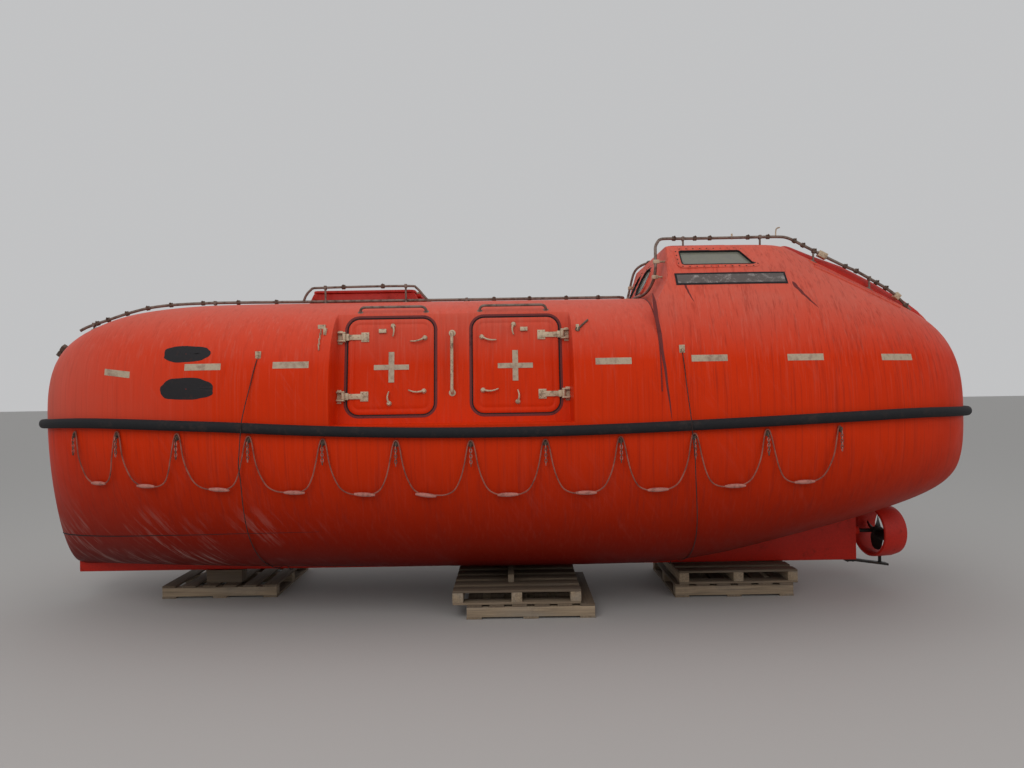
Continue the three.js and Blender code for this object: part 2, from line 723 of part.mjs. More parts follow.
// Heel bar under the skeg, with the pin that the nozzle turns on.
const NOZZLE = { outer: 245, inner: 212, length: 250, swing: 12, stock: 24 };
const HEEL = { half: 36, x0: 3280, x1: 3690, thick: 20, drop: 46 };
const heelOutline = [
  [HEEL.x0, KEEL_Z - GAP - HEEL.thick],
  [SKEG_AFT, KEEL_Z - GAP - HEEL.thick],
  [HEEL.x1, KEEL_Z - HEEL.drop - HEEL.thick],
  [HEEL.x1, KEEL_Z - HEEL.drop],
  [SKEG_AFT, KEEL_Z - GAP],
  [HEEL.x0, KEEL_Z - GAP],
];
const pinFoot = KEEL_Z - HEEL.drop - 10;
const heelPin = rod([PIVOT_X, 0, pinFoot], [PIVOT_X, 0, SHAFT_Z - NOZZLE.outer - GAP], 15, 10);
const heel = joined([alongY(heelOutline, -HEEL.half, HEEL.half), heelPin]);
place("heel_bar", shapeOf(heel), "bronze");

// Steering nozzle, swung a little as it was left; straight ahead is -X.
const nozzleMount = new THREE.Group();
nozzleMount.position.set(PIVOT_X, 0, SHAFT_Z);
nozzleMount.rotation.z = THREE.MathUtils.degToRad(NOZZLE.swing);
boat.add(nozzleMount);
const lip = NOZZLE.outer - NOZZLE.inner;
const nozzleProfile = [
  [NOZZLE.inner + lip * 0.35, -NOZZLE.length / 2],
  [NOZZLE.outer - 6, -NOZZLE.length / 2 + 4],
  [NOZZLE.outer, -NOZZLE.length / 2 + 40],
  [NOZZLE.outer, NOZZLE.length / 2 - 70],
  [NOZZLE.outer - 14, NOZZLE.length / 2],
  [NOZZLE.inner + 4, NOZZLE.length / 2],
  [NOZZLE.inner, 0],
  [NOZZLE.inner + 2, -NOZZLE.length / 2 + 30],
].map(([r, h]) => new THREE.Vector2(r, h));
nozzleProfile.push(nozzleProfile[0].clone());
const nozzleRing = new THREE.LatheGeometry(nozzleProfile, 28).rotateZ(-Math.PI / 2);
const stockTop = TRUNK.z0 - GAP - SHAFT_Z;
const stock = rod([0, 0, NOZZLE.outer - 12], [0, 0, stockTop], NOZZLE.stock, 12);
place("steering_nozzle", shapeOf(joined([nozzleRing, stock])), "gelcoatDark", nozzleMount);

// Propeller: hub, shaft and four twisted blades.
const PROP = { x: 3600, radius: 193, hub: 34, blades: 4, pitch: 0.62, chord: 62, thick: 9 };
function blade(turn) {
  const sections = [0, 0.25, 0.5, 0.75, 0.93, 1].map((share) => {
    const r = PROP.hub * 0.6 + (PROP.radius - PROP.hub * 0.6) * share;
    const twist = Math.atan2(PROP.radius * PROP.pitch, r * 1.6);
    const chord = PROP.chord * Math.sqrt(Math.max(0.12, 1 - (share * 1.5 - 0.75) ** 2));
    const thick = PROP.thick * (1.15 - share * 0.8);
    return Array.from({ length: 6 }, (_, i) => {
      const angle = (i / 6) * Math.PI * 2;
      const [u, v] = [chord * Math.cos(angle), (thick / 2) * Math.sin(angle)];
      const along = u * Math.sin(twist) + v * Math.cos(twist);
      const across = u * Math.cos(twist) - v * Math.sin(twist);
      const bend = across / r;
      return new THREE.Vector3(along, r * Math.sin(bend), r * Math.cos(bend));
    });
  });
  return loft(sections).rotateX(turn);
}
const propeller = new THREE.Group();
propeller.position.set(PROP.x, 0, SHAFT_Z);
boat.add(propeller);
const bladeList = Array.from({ length: PROP.blades }, (_, i) =>
  blade(((i + 0.08) / PROP.blades) * Math.PI * 2),
);
const hubPieces = [
  rod([-48, 0, 0], [44, 0, 0], PROP.hub, 14),
  rod([BOSS.x1 + GAP - PROP.x, 0, 0], [-40, 0, 0], 19, 12),
  rod([40, 0, 0], [66, 0, 0], 17, 10),
];
place("propeller", shapeOf(joined([...hubPieces, ...bladeList])), "bronze", propeller);

// Doors and their hinge plates, in the frame of the panel.
const HINGE = { out: 27, beside: 30, barrel: 15, half: 28, strap: 205, lug: 12, plate: 7 };
// Levers that dog the door shut. Columns: pivot and tip, across from the hinge side and up the door.
const LEVERS = [
  [366, 731, 366, 640],
  [627, 629, 508, 600],
  [620, 188, 495, 196],
  [340, 90, 340, 185],
];
const LEVER = { boss: 17, reach: 24, bar: 9, level: 18 };
function doorShape(sign) {
  const flip = (a, b) => (sign > 0 ? [a, b] : [-b, -a]);
  const [x0, x1] = flip(0, DOOR.width);
  const slab = extrude(roundedShape(x0, x1, 0, DOOR.height, DOOR.radius), DOOR.thick, 3);
  const pieces = [slab.translate(0, 0, -DOOR.thick)];
  for (const height of HINGE_HEIGHTS) {
    const [low, high] = [height - HINGE.half, height + HINGE.half];
    const [bx, ex] = flip(-4, HINGE.strap);
    const [cx, dx] = flip(-HINGE.beside - 6, 12);
    const axis = -sign * HINGE.beside;
    pieces.push(box(bx, ex, low, high, -3, 13));
    pieces.push(box(cx, dx, low, high, 7, 18));
    pieces.push(rod([axis, low, HINGE.out], [axis, high, HINGE.out], HINGE.barrel, 10));
  }
  for (const [u, v, tipU, tipV] of LEVERS) {
    const [at, tip] = [sign * u, sign * tipU];
    pieces.push(rod([at, v, -2], [at, v, LEVER.reach], LEVER.boss, 6));
    pieces.push(rod([at, v, LEVER.level], [tip, tipV, LEVER.level], LEVER.bar, 5));
  }
  const clear = sign > 0 ? box(-5, 0, -10, 2000, -60, 6.9) : box(0, 5, -10, 2000, -60, 6.9);
  return shapeOf(joined(pieces).subtract(solid(clear)));
}
function hingePlate(sign) {
  const flip = (a, b) => (sign > 0 ? [a, b] : [-b, -a]);
  const [x0, x1] = flip(-80, -52);
  const ends = [HINGE_HEIGHTS[0] - 60, HINGE_HEIGHTS[HINGE_HEIGHTS.length - 1] + 60];
  const pieces = [box(x0, x1, ends[0], ends[1], GAP, HINGE.plate)];
  for (const height of HINGE_HEIGHTS)
    for (const side of [-1, 1]) {
      const near = height + side * (HINGE.half + GAP);
      const far = near + side * HINGE.lug;
      const [cx, dx] = flip(-80, -HINGE.beside + 13);
      pieces.push(box(cx, dx, Math.min(near, far), Math.max(near, far), GAP, HINGE.out + 13));
    }
  return shapeOf(joined(pieces));
}
for (const { name: side, group } of SIDES)
  for (const door of DOORS) {
    const hung = new THREE.Group();
    hung.applyMatrix4(panelFrame.clone().multiply(new THREE.Matrix4().setPosition(door.s, DOOR_FOOT, 0)));
    group.add(hung);
    place(`door_${side}_${door.name}`, doorShape(door.sign), "gelcoat", hung);
    place(`hinge_plate_${side}_${door.name}`, hingePlate(door.sign), "steel", hung);
  }

// Grab rails: a hoop above each door and an upright bar between the doors.
const onPanel = (x, up, out) => new THREE.Vector3(x, up, out).applyMatrix4(panelFrame);
const HOOPS = [
  { name: "fore", x0: -1168, x1: -632 },
  { name: "aft", x0: -183, x1: 356 },
];
const HOOP = { z: 2590, rise: 41, out: 30, sink: 40, radius: 11 };
function hoop({ x0, x1 }) {
  const y = -skinY(CREST, 0, HOOP.z);
  const lower = [y + HOOP.sink * 0.5, HOOP.z - HOOP.sink];
  const upper = [y - HOOP.out, HOOP.z + HOOP.rise];
  const corners = [
    [x0 - 10, ...lower],
    [x0, ...upper],
    [x1, ...upper],
    [x1 + 10, ...lower],
  ];
  return seated(tube(bent(corners, 45), HOOP.radius), foreBulk);
}
function uprightBar() {
  const reach = (up, out) => onPanel(-412, up, out).toArray();
  const corners = [reach(248, -20), reach(248, 48), reach(742, 48), reach(742, -20)];
  return seated(tube(bent(corners, 30), 13), foreBulk);
}
for (const { name: side, group } of SIDES) {
  for (const rail of HOOPS) place(`grab_hoop_${side}_${rail.name}`, hoop(rail), "steel", group);
  place(`grab_bar_${side}`, uprightBar(), "steel", group);
}

// Hatch lids, hinged on their aft edges.
const LID = { thick: 26, over: 8, back: 24, knuckle: 11 };
function lidHinge(x, top, at) {
  const leaf = box(x - LID.back - 14, x, at - 28, at + 28, top + 2, top + 16);
  return [leaf, rod([x, at - 28, top + 12], [x, at + 28, top + 12], LID.knuckle, 10)];
}
const hatchTop = hatchZ + HATCH.rise;
const foreLidAxis = HATCH.x1 + LID.over + LID.back;
const foreLid = [
  extrude(
    roundedShape(HATCH.x0 - LID.over, HATCH.x1 + LID.over, -HATCH.half - LID.over, HATCH.half + LID.over, 60),
    LID.thick,
    4,
  ).translate(0, 0, hatchTop + GAP),
  ...[-250, 250].flatMap((at) => lidHinge(foreLidAxis, hatchTop, at)),
];
place("fore_hatch_lid", shapeOf(joined(foreLid)), "gelcoatDark");
const roofTop = ROOF_Z + ROOF_HATCH.coaming;
const roofLidAxis = ROOF_HATCH.x1 + LID.back;
const roofLid = [
  extrude(
    roundedShape(ROOF_HATCH.x0, ROOF_HATCH.x1, -ROOF_HATCH.half, ROOF_HATCH.half, ROOF_HATCH.radius),
    ROOF_HATCH.lid,
    4,
  ).translate(0, 0, roofTop + GAP),
  ...[-150, 150].flatMap((at) => lidHinge(roofLidAxis, roofTop, at)),
];
place("roof_hatch_lid", shapeOf(joined(roofLid)), "gelcoatDark");

// Window panes, each inside its opening.
for (const { name: side, group } of SIDES)
  for (const pane of WINDOWS)
    place(`${pane.name}_${side}`, windowPrism(pane, -GAP, -22, -22 + PANE_THICK), "glass", group);

// Water-spray pipes. Columns: x, y, z.
const PIPE_RADIUS = 13;
const FORE_PIPE = [
  [-3824, -505, 2528],
  [-3752, -505, 2563],
  [-3574, -500, 2622],
  [-3412, -490, 2676],
  [-3226, -480, 2724],
  [-3018, -470, 2751],
  [-2735, -460, 2764],
  [-2420, -450, 2767],
  [-1745, -450, 2764],
  [-304, -450, 2762],
  [1020, -450, 2762],
  [1070, -440, 2762],
  [1102, -400, 2763],
  [1122, -262, 2763],
  [1138, -218, 2763],
  [1168, -200, 2763],
  [1203, -200, 2763],
];
// The branch that loops up beside the fore hatch.
const HATCH_PIPE = [
  [-1822, -450, 2755],
  [-1788, -462, 2825],
  [-1738, -474, 2872],
  [-1690, -478, 2885],
  [-838, -478, 2890],
  [-778, -474, 2868],
  [-722, -462, 2804],
  [-680, -450, 2755],
];
const FORE_POSTS = [-3700, -2620, -330];
const HATCH_POSTS = [-1610, -880];
const pointsOf = (rows) => rows.map((row) => new THREE.Vector3(...row));
// The place on a route where it reaches x.
function atX(points, x) {
  const row = points.findIndex((point) => point.x > x);
  const [a, b] = [points[row - 1], points[row]];
  return a.clone().lerp(b, (x - a.x) / (b.x - a.x));
}
const post = (top, foot) => rod([top.x, top.y, foot], top.toArray(), 9, 6);
function forePipe() {
  const main = pointsOf(FORE_PIPE);
  const branch = pointsOf(HATCH_PIPE);
  const sunk = (point) => post(point, skinZ(CREST, point.x, point.y) - 30);
  const posts = FORE_POSTS.map((x) => sunk(atX(main, x)));
  const hatchPosts = HATCH_POSTS.map((x) => sunk(atX(branch, x)));
  const pipes = [tube(main, PIPE_RADIUS), tube(branch, PIPE_RADIUS - 2)];
  return seatedAll([...pipes, ...posts, ...hatchPosts], foreBulk);
}
// Columns: x, y, z along the foot of the front, then up its corner, which differs from side to side,
// and along the roof edge and the aft slope.
const FOOT_PIPE = [
  [1218, -GAP, 2763],
  [1218, -200, 2763],
  [1226, -400, 2760],
  [1250, -600, 2758],
];
const CORNER_PIPE = {
  port: [
    [1275, -740, 2785],
    [1302, -840, 2860],
    [1312, -868, 2940],
    [1316, -860, 3010],
    [1328, -800, 3100],
    [1340, -745, 3160],
    [1365, -700, 3205],
    [1400, -650, 3242],
    [1470, -600, 3259],
  ],
  starboard: [
    [1290, -720, 2790],
    [1328, -790, 2880],
    [1362, -800, 3010],
    [1382, -785, 3100],
    [1405, -760, 3175],
    [1450, -720, 3225],
    [1520, -650, 3250],
  ],
};
const ROOF_PIPE = [
  [1620, -575, 3262],
  [2040, -570, 3264],
  [2453, -570, 3266],
  [2560, -568, 3254],
  [2686, -565, 3193],
  [2874, -556, 3097],
  [3070, -550, 2999],
  [3180, -545, 2952],
  [3365, -530, 2850],
  [3464, -520, 2793],
  [3554, -515, 2726],
  [3683, -500, 2598],
];
const AFT_POSTS = [1620, 2310, 2790, 3300];
const AFT_POST_DEEP = 160;
const FRONT_POSTS = [2880, 3010];
function aftPipe(side) {
  const points = pointsOf([...FOOT_PIPE, ...CORNER_PIPE[side], ...ROOF_PIPE]);
  const posts = AFT_POSTS.map((x) => {
    const top = atX(points, x);
    return post(top, top.z - AFT_POST_DEEP);
  });
  const clips = FRONT_POSTS.map((z) => {
    const row = points.findIndex((point) => point.z > z);
    const [a, b] = [points[row - 1], points[row]];
    const { x, y } = a.clone().lerp(b, (z - a.z) / (b.z - a.z));
    return rod([x, y, z], [frontX(y, z) + 40, y, z], 9, 6);
  });
  return seatedAll([tube(points, PIPE_RADIUS), ...posts, ...clips], aftBulk);
}
for (const { name: side, group } of SIDES) {
  place(`spray_pipe_fore_${side}`, forePipe(), "pipe", group);
  place(`spray_pipe_aft_${side}`, aftPipe(side), "pipe", group);
}

// Bow bitts on the shoulders of the bow, and the towing eye on the stem.
function skinFrame(table, x, y) {
  const at = (u, v) => new THREE.Vector3(u, v, skinZ(table, u, v));
  const step = 8;
  const along = at(x + step, y).sub(at(x - step, y)).normalize();
  const across = at(x, y + step).sub(at(x, y - step));
  const out = new THREE.Vector3().crossVectors(along, across).normalize();
  const side = new THREE.Vector3().crossVectors(out, along);
  return new THREE.Matrix4().makeBasis(along, side, out).setPosition(at(x, y));
}
const BITTS = { x: -4030, y: -400 };
function bitts() {
  const frame = skinFrame(CREST, BITTS.x, BITTS.y);
  const heads = [-33, 33].map((x) => box(x - 26, x + 26, -28, 28, 6, 48));
  const pieces = [box(-62, 62, -36, 36, -50, 10), ...heads];
  return seatedAll(pieces.map((piece) => piece.applyMatrix4(frame)), foreBulk);
}
for (const { name: side, group } of SIDES) place(`bow_bitts_${side}`, bitts(), "steel", group);
const STEM_EYE = { z: 1372, x: -4250, out: 48, half: 32 };
const stemCorners = [
  [STEM_EYE.x + 70, -STEM_EYE.half * 0.6, STEM_EYE.z],
  [STEM_EYE.x - STEM_EYE.out, -STEM_EYE.half, STEM_EYE.z],
  [STEM_EYE.x - STEM_EYE.out, STEM_EYE.half, STEM_EYE.z],
  [STEM_EYE.x + 70, STEM_EYE.half * 0.6, STEM_EYE.z],
];
place("stem_eye", seated(tube(bent(stemCorners, 28), 9), hullBulk), "bronze");

// Lifting hooks in their wells.
for (const hook of HOOKS) {
  const floor = read(hook.table, hook.x, 1) - WELL.deep + GAP;
  const cheeks = [-34, 34].map((y) =>
    box(hook.x - 60, hook.x + 60, y - 9, y + 9, floor + 15, floor + 190),
  );
  const claw = [
    [hook.x - 70, floor + 130],
    [hook.x + 20, floor + 130],
    [hook.x + 40, floor + 180],
    [hook.x + 10, floor + 225],
    [hook.x - 50, floor + 235],
    [hook.x - 60, floor + 205],
    [hook.x - 10, floor + 190],
    [hook.x - 5, floor + 165],
    [hook.x - 70, floor + 160],
  ];
  const pieces = [
    box(hook.x - 120, hook.x + 120, -75, 75, floor, floor + 18),
    ...cheeks,
    alongY(claw, -22, 22),
    rod([hook.x, -50, floor + 150], [hook.x, 50, floor + 150], 14, 10),
  ];
  place(`lifting_hook_${hook.name}`, shapeOf(joined(pieces)), "steel");
}

// Inside: side benches, engine box, helm seat and console on the sole.
const floorZ = SOLE_Z + GAP;
const inside = lowerLoft(WALL + GAP, 60).intersect(halfSpace(-5000, 5000, floorZ, 4000));
const BENCH = { x0: -2600, x1: 950, inner: 830, top: 1230, seat: 60 };
for (const { name: side, group } of SIDES) {
  const block = box(BENCH.x0, BENCH.x1, -1500, -BENCH.inner, floorZ - 10, BENCH.top);
  place(`bench_${side}`, shapeOf(solid(block).intersect(inside)), "cushion", group);
}
const ENGINE = { x0: 1950, x1: 2850, half: 330, height: 560 };
const engineTop = floorZ + ENGINE.height;
place("engine", box(ENGINE.x0, ENGINE.x1, -ENGINE.half, ENGINE.half, floorZ, engineTop), "machine");
const SEAT = { x0: 1960, x1: 2360, half: 220, z: engineTop + GAP };
const seatPieces = [
  box(SEAT.x0 + 110, SEAT.x1 - 110, -80, 80, SEAT.z, SEAT.z + 380),
  box(SEAT.x0, SEAT.x1, -SEAT.half, SEAT.half, SEAT.z + 370, SEAT.z + 470),
  box(SEAT.x1 - 90, SEAT.x1, -SEAT.half, SEAT.half, SEAT.z + 460, SEAT.z + 880),
];
place("helm_seat", shapeOf(joined(seatPieces)), "cushion");
const CONSOLE = { x0: 1480, x1: 1680, half: 320, z: 2150 };
const wheelRing = new THREE.TorusGeometry(150, 13, 6, 14).rotateY(Math.PI / 2);
const consolePieces = [
  box(CONSOLE.x0, CONSOLE.x1, -CONSOLE.half, CONSOLE.half, floorZ, CONSOLE.z),
  rod([CONSOLE.x1 - 10, 0, CONSOLE.z - 150], [CONSOLE.x1 + 90, 0, CONSOLE.z - 150], 16, 8),
  wheelRing.translate(CONSOLE.x1 + 80, 0, CONSOLE.z - 150),
  box(CONSOLE.x1 + 72, CONSOLE.x1 + 88, -150, 150, CONSOLE.z - 162, CONSOLE.z - 138),
];
place("helm_console", shapeOf(joined(consolePieces)), "machine");

// Pallets: three runners, bottom boards and a deck. Columns: x, y of the near corner, foot, deck along x.
const PALLET = { side: 1090, height: 119.7, deck: 19, board: 130, runner: 90 };
const PALLETS = [
  { name: "pallet_fore", x: -3280, y: -180, z: 0, alongX: false },
  { name: "pallet_middle_low", x: -345, y: -960, z: 0, alongX: false },
  { name: "pallet_middle_top", x: -462, y: -950, z: 120, alongX: true },
  { name: "pallet_aft_low", x: 1540, y: -400, z: 0, alongX: false },
  { name: "pallet_aft_top", x: 1582, y: -395, z: 120, alongX: true },
];
function pallet({ x, y, z, alongX: deckAlongX }) {
  const { side, height, deck, board, runner } = PALLET;
  const boards = 6;
  const pieces = [];
  // Each piece is laid out as length along u and place across v, then turned if the deck runs along y.
  const lay = (u0, u1, v0, v1, low, high) =>
    pieces.push(deckAlongX ? box(u0, u1, v0, v1, low, high) : box(v0, v1, u0, u1, low, high));
  const pitch = (side - board) / (boards - 1);
  for (let i = 0; i < boards; i++) lay(0, side, i * pitch, i * pitch + board, height - deck, height);
  for (const v of [0, (boards - 1) / 2, boards - 1]) lay(0, side, v * pitch, v * pitch + board, 0, deck);
  for (const u of [0, (side - runner) / 2, side - runner])
    lay(u, u + runner, 0.5, side - 0.5, deck - 1, height - deck + 1);
  return joined(pieces).translate([x, y, z]);
}
for (const row of PALLETS) place(row.name, shapeOf(pallet(row)), "wood");
const chockTop = KEEL_Z - GAP;
place("bow_block", box(-2900, -2560, -70, 70, 120, chockTop), "wood");
place("middle_timber", box(10, 62, -690, -KEEL_HALF_WIDTH - GAP, 240, 308), "wood");

// Grab lines: one rope a side, over the eyes and hanging in loops that carry a float each.
const LOOP_SAG = 398;
const LOOP_POWER = 4.2;
// Where each loop's float has slid to, as a share of the way to the next eye.
const FLOAT_SHARE = [0.5, 0.43, 0.57, 0.6, 0.56, 0.38, 0.48, 0.54, 0.5, 0.56, 0.51];
const sagAt = (share) => LOOP_SAG * (1 - Math.abs(share * 2 - 1) ** LOOP_POWER);
const LOOP_CLEAR = new THREE.Vector3(0, -22, 0);
const ropeOff = ROPE_RADIUS + 6;
function besideHull(x, z) {
  return new THREE.Vector3(x, -skinY(BOTTOM, x, z) - ropeOff, z);
}
// Height of the rope's middle over the middle of an eye.
const EYE_TO_ROPE = 16.2;
const overEye = EYE_TO_ROPE / Math.SQRT1_2;
function loopPoint(k, share) {
  const [from, to] = [EYE_X[k], EYE_X[k + 1]];
  const at = THREE.MathUtils.lerp(from + overEye, to - overEye, share);
  const level = THREE.MathUtils.lerp(gunwale(from), gunwale(to), share) - EYE_DROP;
  return besideHull(at, level - sagAt(share)).add(LOOP_CLEAR);
}
function grabLine() {
  const points = [];
  EYE_X.forEach((x, k) => {
    const z = gunwale(x) - EYE_DROP;
    const fore = k === 0 ? 90 : 135;
    const aft = k === EYE_X.length - 1 ? 90 : 45;
    for (const angle of [fore, aft]) {
      const turn = THREE.MathUtils.degToRad(angle);
      const point = besideHull(x + overEye * Math.cos(turn), z);
      points.push(point.setZ(z + overEye * Math.sin(turn)));
    }
    if (k === EYE_X.length - 1) return;
    for (const share of [0.06, 0.21, FLOAT_SHARE[k], 0.79, 0.94]) points.push(loopPoint(k, share));
  });
  return points;
}
const FLOAT = { half: 75, radius: 19 };
for (const { name: side, group } of SIDES) {
  const route = grabLine();
  const pieces = [tube(route, ROPE_RADIUS, CORD_SIDES)];
  for (let k = 0; k < EYE_X.length - 1; k++) {
    const at = loopPoint(k, FLOAT_SHARE[k]);
    const spindle = [
      [0, -FLOAT.half],
      [FLOAT.radius, -FLOAT.half * 0.4],
      [FLOAT.radius, FLOAT.half * 0.4],
      [0, FLOAT.half],
    ].map(([r, h]) => new THREE.Vector2(r, h));
    const float = new THREE.LatheGeometry(spindle, 6).rotateZ(Math.PI / 2);
    pieces.push(float.translate(at.x, at.y, at.z));
  }
  place(`grab_line_${side}`, shapeOf(joined(pieces)), "rope", group);
}

// Securing lines: from the pad eye over the fender, under the keel and up the other side.
const LINE_RADIUS = 4;
function securingLine({ x: padX, drift }, table) {
  const off = LINE_RADIUS + 7;
  const lineX = (z) => padX + read(drift, z, 1);
  const rim = lineX(gunwale(padX));
  const top = gunwale(rim) + FENDER.half;
  const edge = halfBreadth(rim) + FENDER.out + LINE_RADIUS + 2 * GAP;
  const start = [skinY(table, padX, LINE_Z) + 13, LINE_Z - PAD_EYE.half - 7 * GAP];
  const half = [start];
  for (const share of [0.2, 0.4, 0.6, 0.8]) {
    const z = THREE.MathUtils.lerp(start[1], top + 20, share);
    half.push([Math.max(THREE.MathUtils.lerp(start[0], edge, share), skinY(table, lineX(z), z) + off), z]);
  }
  half.push([edge + 1, top + 10]);
  for (const z of [top - 50, 1480, 1380]) half.push([edge, z]);
  for (const z of [1250, 1050, 880, 730, 600, 520, 465, 420])
    half.push([Math.min(edge, skinY(BOTTOM, lineX(z), z) + off + (z - 380) * 0.05), z]);
  for (const y of [560, 400, 240]) half.push([y, skinZ(BOTTOM, lineX(KEEL_Z), y) - off]);
  half.push([90, KEEL_Z + 4], [KEEL_HALF_WIDTH + 2, KEEL_Z - LINE_RADIUS - GAP]);
  const down = half.map(([y, z]) => new THREE.Vector3(lineX(z), -y, z));
  const up = half.map(([y, z]) => new THREE.Vector3(lineX(z), y, z)).reverse();
  return [...down, ...up];
}
LINES.forEach((line, k) => {
  const route = securingLine(line, k ? DOME : CREST);
  place(`securing_line_${line.name}`, tube(route, LINE_RADIUS, CORD_SIDES), "rope");
});

export default boat;
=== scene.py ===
"""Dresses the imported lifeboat: skins, doors, pipes, ropes, fittings, pallets and their finishes."""

import math

import bmesh
import bpy
import numpy as np
from bpy.props import FloatProperty, FloatVectorProperty, IntProperty, PointerProperty
from mathutils import Matrix, Vector


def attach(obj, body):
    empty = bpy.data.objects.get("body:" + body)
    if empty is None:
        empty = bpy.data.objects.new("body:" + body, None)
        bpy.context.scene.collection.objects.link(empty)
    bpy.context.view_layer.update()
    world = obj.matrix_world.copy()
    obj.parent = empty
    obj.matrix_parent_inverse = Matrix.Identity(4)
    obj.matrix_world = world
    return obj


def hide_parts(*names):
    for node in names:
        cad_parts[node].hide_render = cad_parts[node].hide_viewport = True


bl_info = {
    "name": "Enclosed Lifeboat",
    "version": (1, 0, 0),
    "blender": (4, 5, 0),
    "location": "3D View > Sidebar > Lifeboat",
    "description": "Builds the visible pieces of a totally enclosed lifeboat around its fixed frame",
    "category": "Object",
}

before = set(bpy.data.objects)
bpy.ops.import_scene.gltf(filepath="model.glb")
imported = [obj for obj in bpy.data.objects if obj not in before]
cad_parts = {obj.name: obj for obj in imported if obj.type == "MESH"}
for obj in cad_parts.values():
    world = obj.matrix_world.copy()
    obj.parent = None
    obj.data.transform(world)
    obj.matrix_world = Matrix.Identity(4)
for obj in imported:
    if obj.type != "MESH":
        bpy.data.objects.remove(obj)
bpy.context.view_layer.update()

# Form of the boat, in metres: the same values as the solids were made from.
HALF_LENGTH = 4.25
HALF_BEAM = 1.45
BOW_ROUND = 2.3
STERN_ROUND = 2.09
PLAN_POWER = 2.12
WALL = 0.045
SOLE_Z = 0.85
KEEL_Z = 0.24
SHAFT_Z = 0.513
STOCK_X = 3.62
FOLD_X = 1.24
ROOF_Z = 3.165
GAP = 0.0003
# Columns: x, height of the gunwale.
SHEER = [
    (-4.25, 1.69), (-3.4, 1.716), (-2.3, 1.684), (-1.5, 1.641), (-0.7, 1.614), (0.2, 1.607), (1.0, 1.622),
    (1.8, 1.649), (2.65, 1.681), (3.4, 1.698), (4.25, 1.682),
]
# Columns: x, height of the bottom on the centreline, exponent of the section.
BOTTOM = [
    (-4.25, 1.1, 1.8), (-4.225, 0.7, 1.8), (-4.18, 0.43, 1.8), (-4.13, 0.335, 1.8), (-3.9, 0.322, 1.85),
    (-3.0, 0.32, 2.1), (-1.5, 0.32, 2.45), (1.2, 0.322, 2.6), (1.8, 0.39, 2.65), (2.5, 0.56, 2.7),
    (3.2, 0.74, 2.8), (3.7, 0.88, 2.9), (4.0, 0.985, 2.9), (4.15, 1.075, 2.9), (4.25, 1.3, 2.9),
]
# Columns: x, height of the fore canopy's crest, exponent of its section.
CREST = [
    (-4.25, 1.9, 2.6), (-4.215, 2.09, 2.7), (-4.15, 2.25, 2.8), (-4.04, 2.39, 2.9), (-3.88, 2.5, 3.0),
    (-3.65, 2.6, 3.0), (-3.3, 2.69, 3.1), (-2.8, 2.738, 3.2), (-2.2, 2.75, 3.2), (1.5, 2.75, 3.2),
]
# Columns: x, height of the steering position's crest before its roof is cut flat, exponent.
DOME = [
    (1.2, 3.39, 2.1), (2.3, 3.39, 2.1), (2.7, 3.195, 2.1), (3.2, 2.935, 2.15), (3.65, 2.705, 2.25),
    (3.85, 2.59, 2.35), (4.0, 2.46, 2.5), (4.12, 2.29, 2.6), (4.2, 2.08, 2.7), (4.25, 1.85, 2.8),
]
# Front of the steering position. Columns: z, x on the centreline, how far the sides fall back.
FRONT = [(2.6, 1.235, 0.0), (2.82, 1.262, 0.1), (ROOF_Z, 1.425, 0.0), (3.5, 1.6, 0.0)]
FRONT_REACH = 0.8
RECESS = {"x0": -1.355, "x1": 0.55, "z0": 1.672, "z1": 2.556, "foot": 1.262, "head": 1.118}
PANEL_WALL = 0.07
RECESS_SLOPE = (RECESS["head"] - RECESS["foot"]) / (RECESS["z1"] - RECESS["z0"])
LEAN = math.atan(-RECESS_SLOPE)
DOOR = {"width": 0.702, "height": 0.792, "radius": 0.095, "thick": 0.036, "clear": 0.008, "lip": 0.028}
DOOR_SEAT = 0.042
DOOR_FOOT = 0.078
# Columns: name, x of the hinge edge, which way the door lies from it.
DOORS = [("fore", -1.262, 1), ("aft", 0.456, -1)]
HATCH = {"x0": -1.737, "x1": -0.815, "half": 0.4, "rise": 0.092, "wall": 0.03, "slope": 0.06}
ROOF_HATCH = {"x0": 1.534, "x1": 2.112, "half": 0.3, "lid": 0.04, "coaming": 0.05, "radius": 0.06}
WELLS = [("fore", -3.15, CREST), ("aft", 3.13, DOME)]
WELL = {"half": 0.17, "long": 0.42, "deep": 0.27}
SIDES = [("port", 1), ("starboard", -1)]
# The raised middle of the aft slope: x and height.
RIDGE = [
    (2.42, 3.23), (2.56, 3.214), (2.82, 3.11), (3.08, 3.018), (3.37, 2.872), (3.67, 2.71), (3.85, 2.57),
    (4.04, 2.3),
]
# Tapes on the skin above the fender. Columns: first x, last x, height of the middle, slant.
TAPES = [
    (-3.224, -2.977, 2.13, -0.03), (-2.5, -2.207, 2.15, 0.0), (-1.799, -1.518, 2.155, 0.0),
    (0.727, 1.009, 2.147, 0.0), (1.482, 1.764, 2.159, 0.0), (2.233, 2.524, 2.155, 0.0),
    (3.035, 3.338, 2.15, 0.0),
]
# Blots of paint. Columns: x, height, width, height across, seed of its edge.
BLOTS = [(-2.5, 2.257, 0.37, 0.125, 1.0), (-2.48, 1.98, 0.42, 0.165, 2.6)]
PLATE = (1.44, 2.335, 2.778, 2.868)


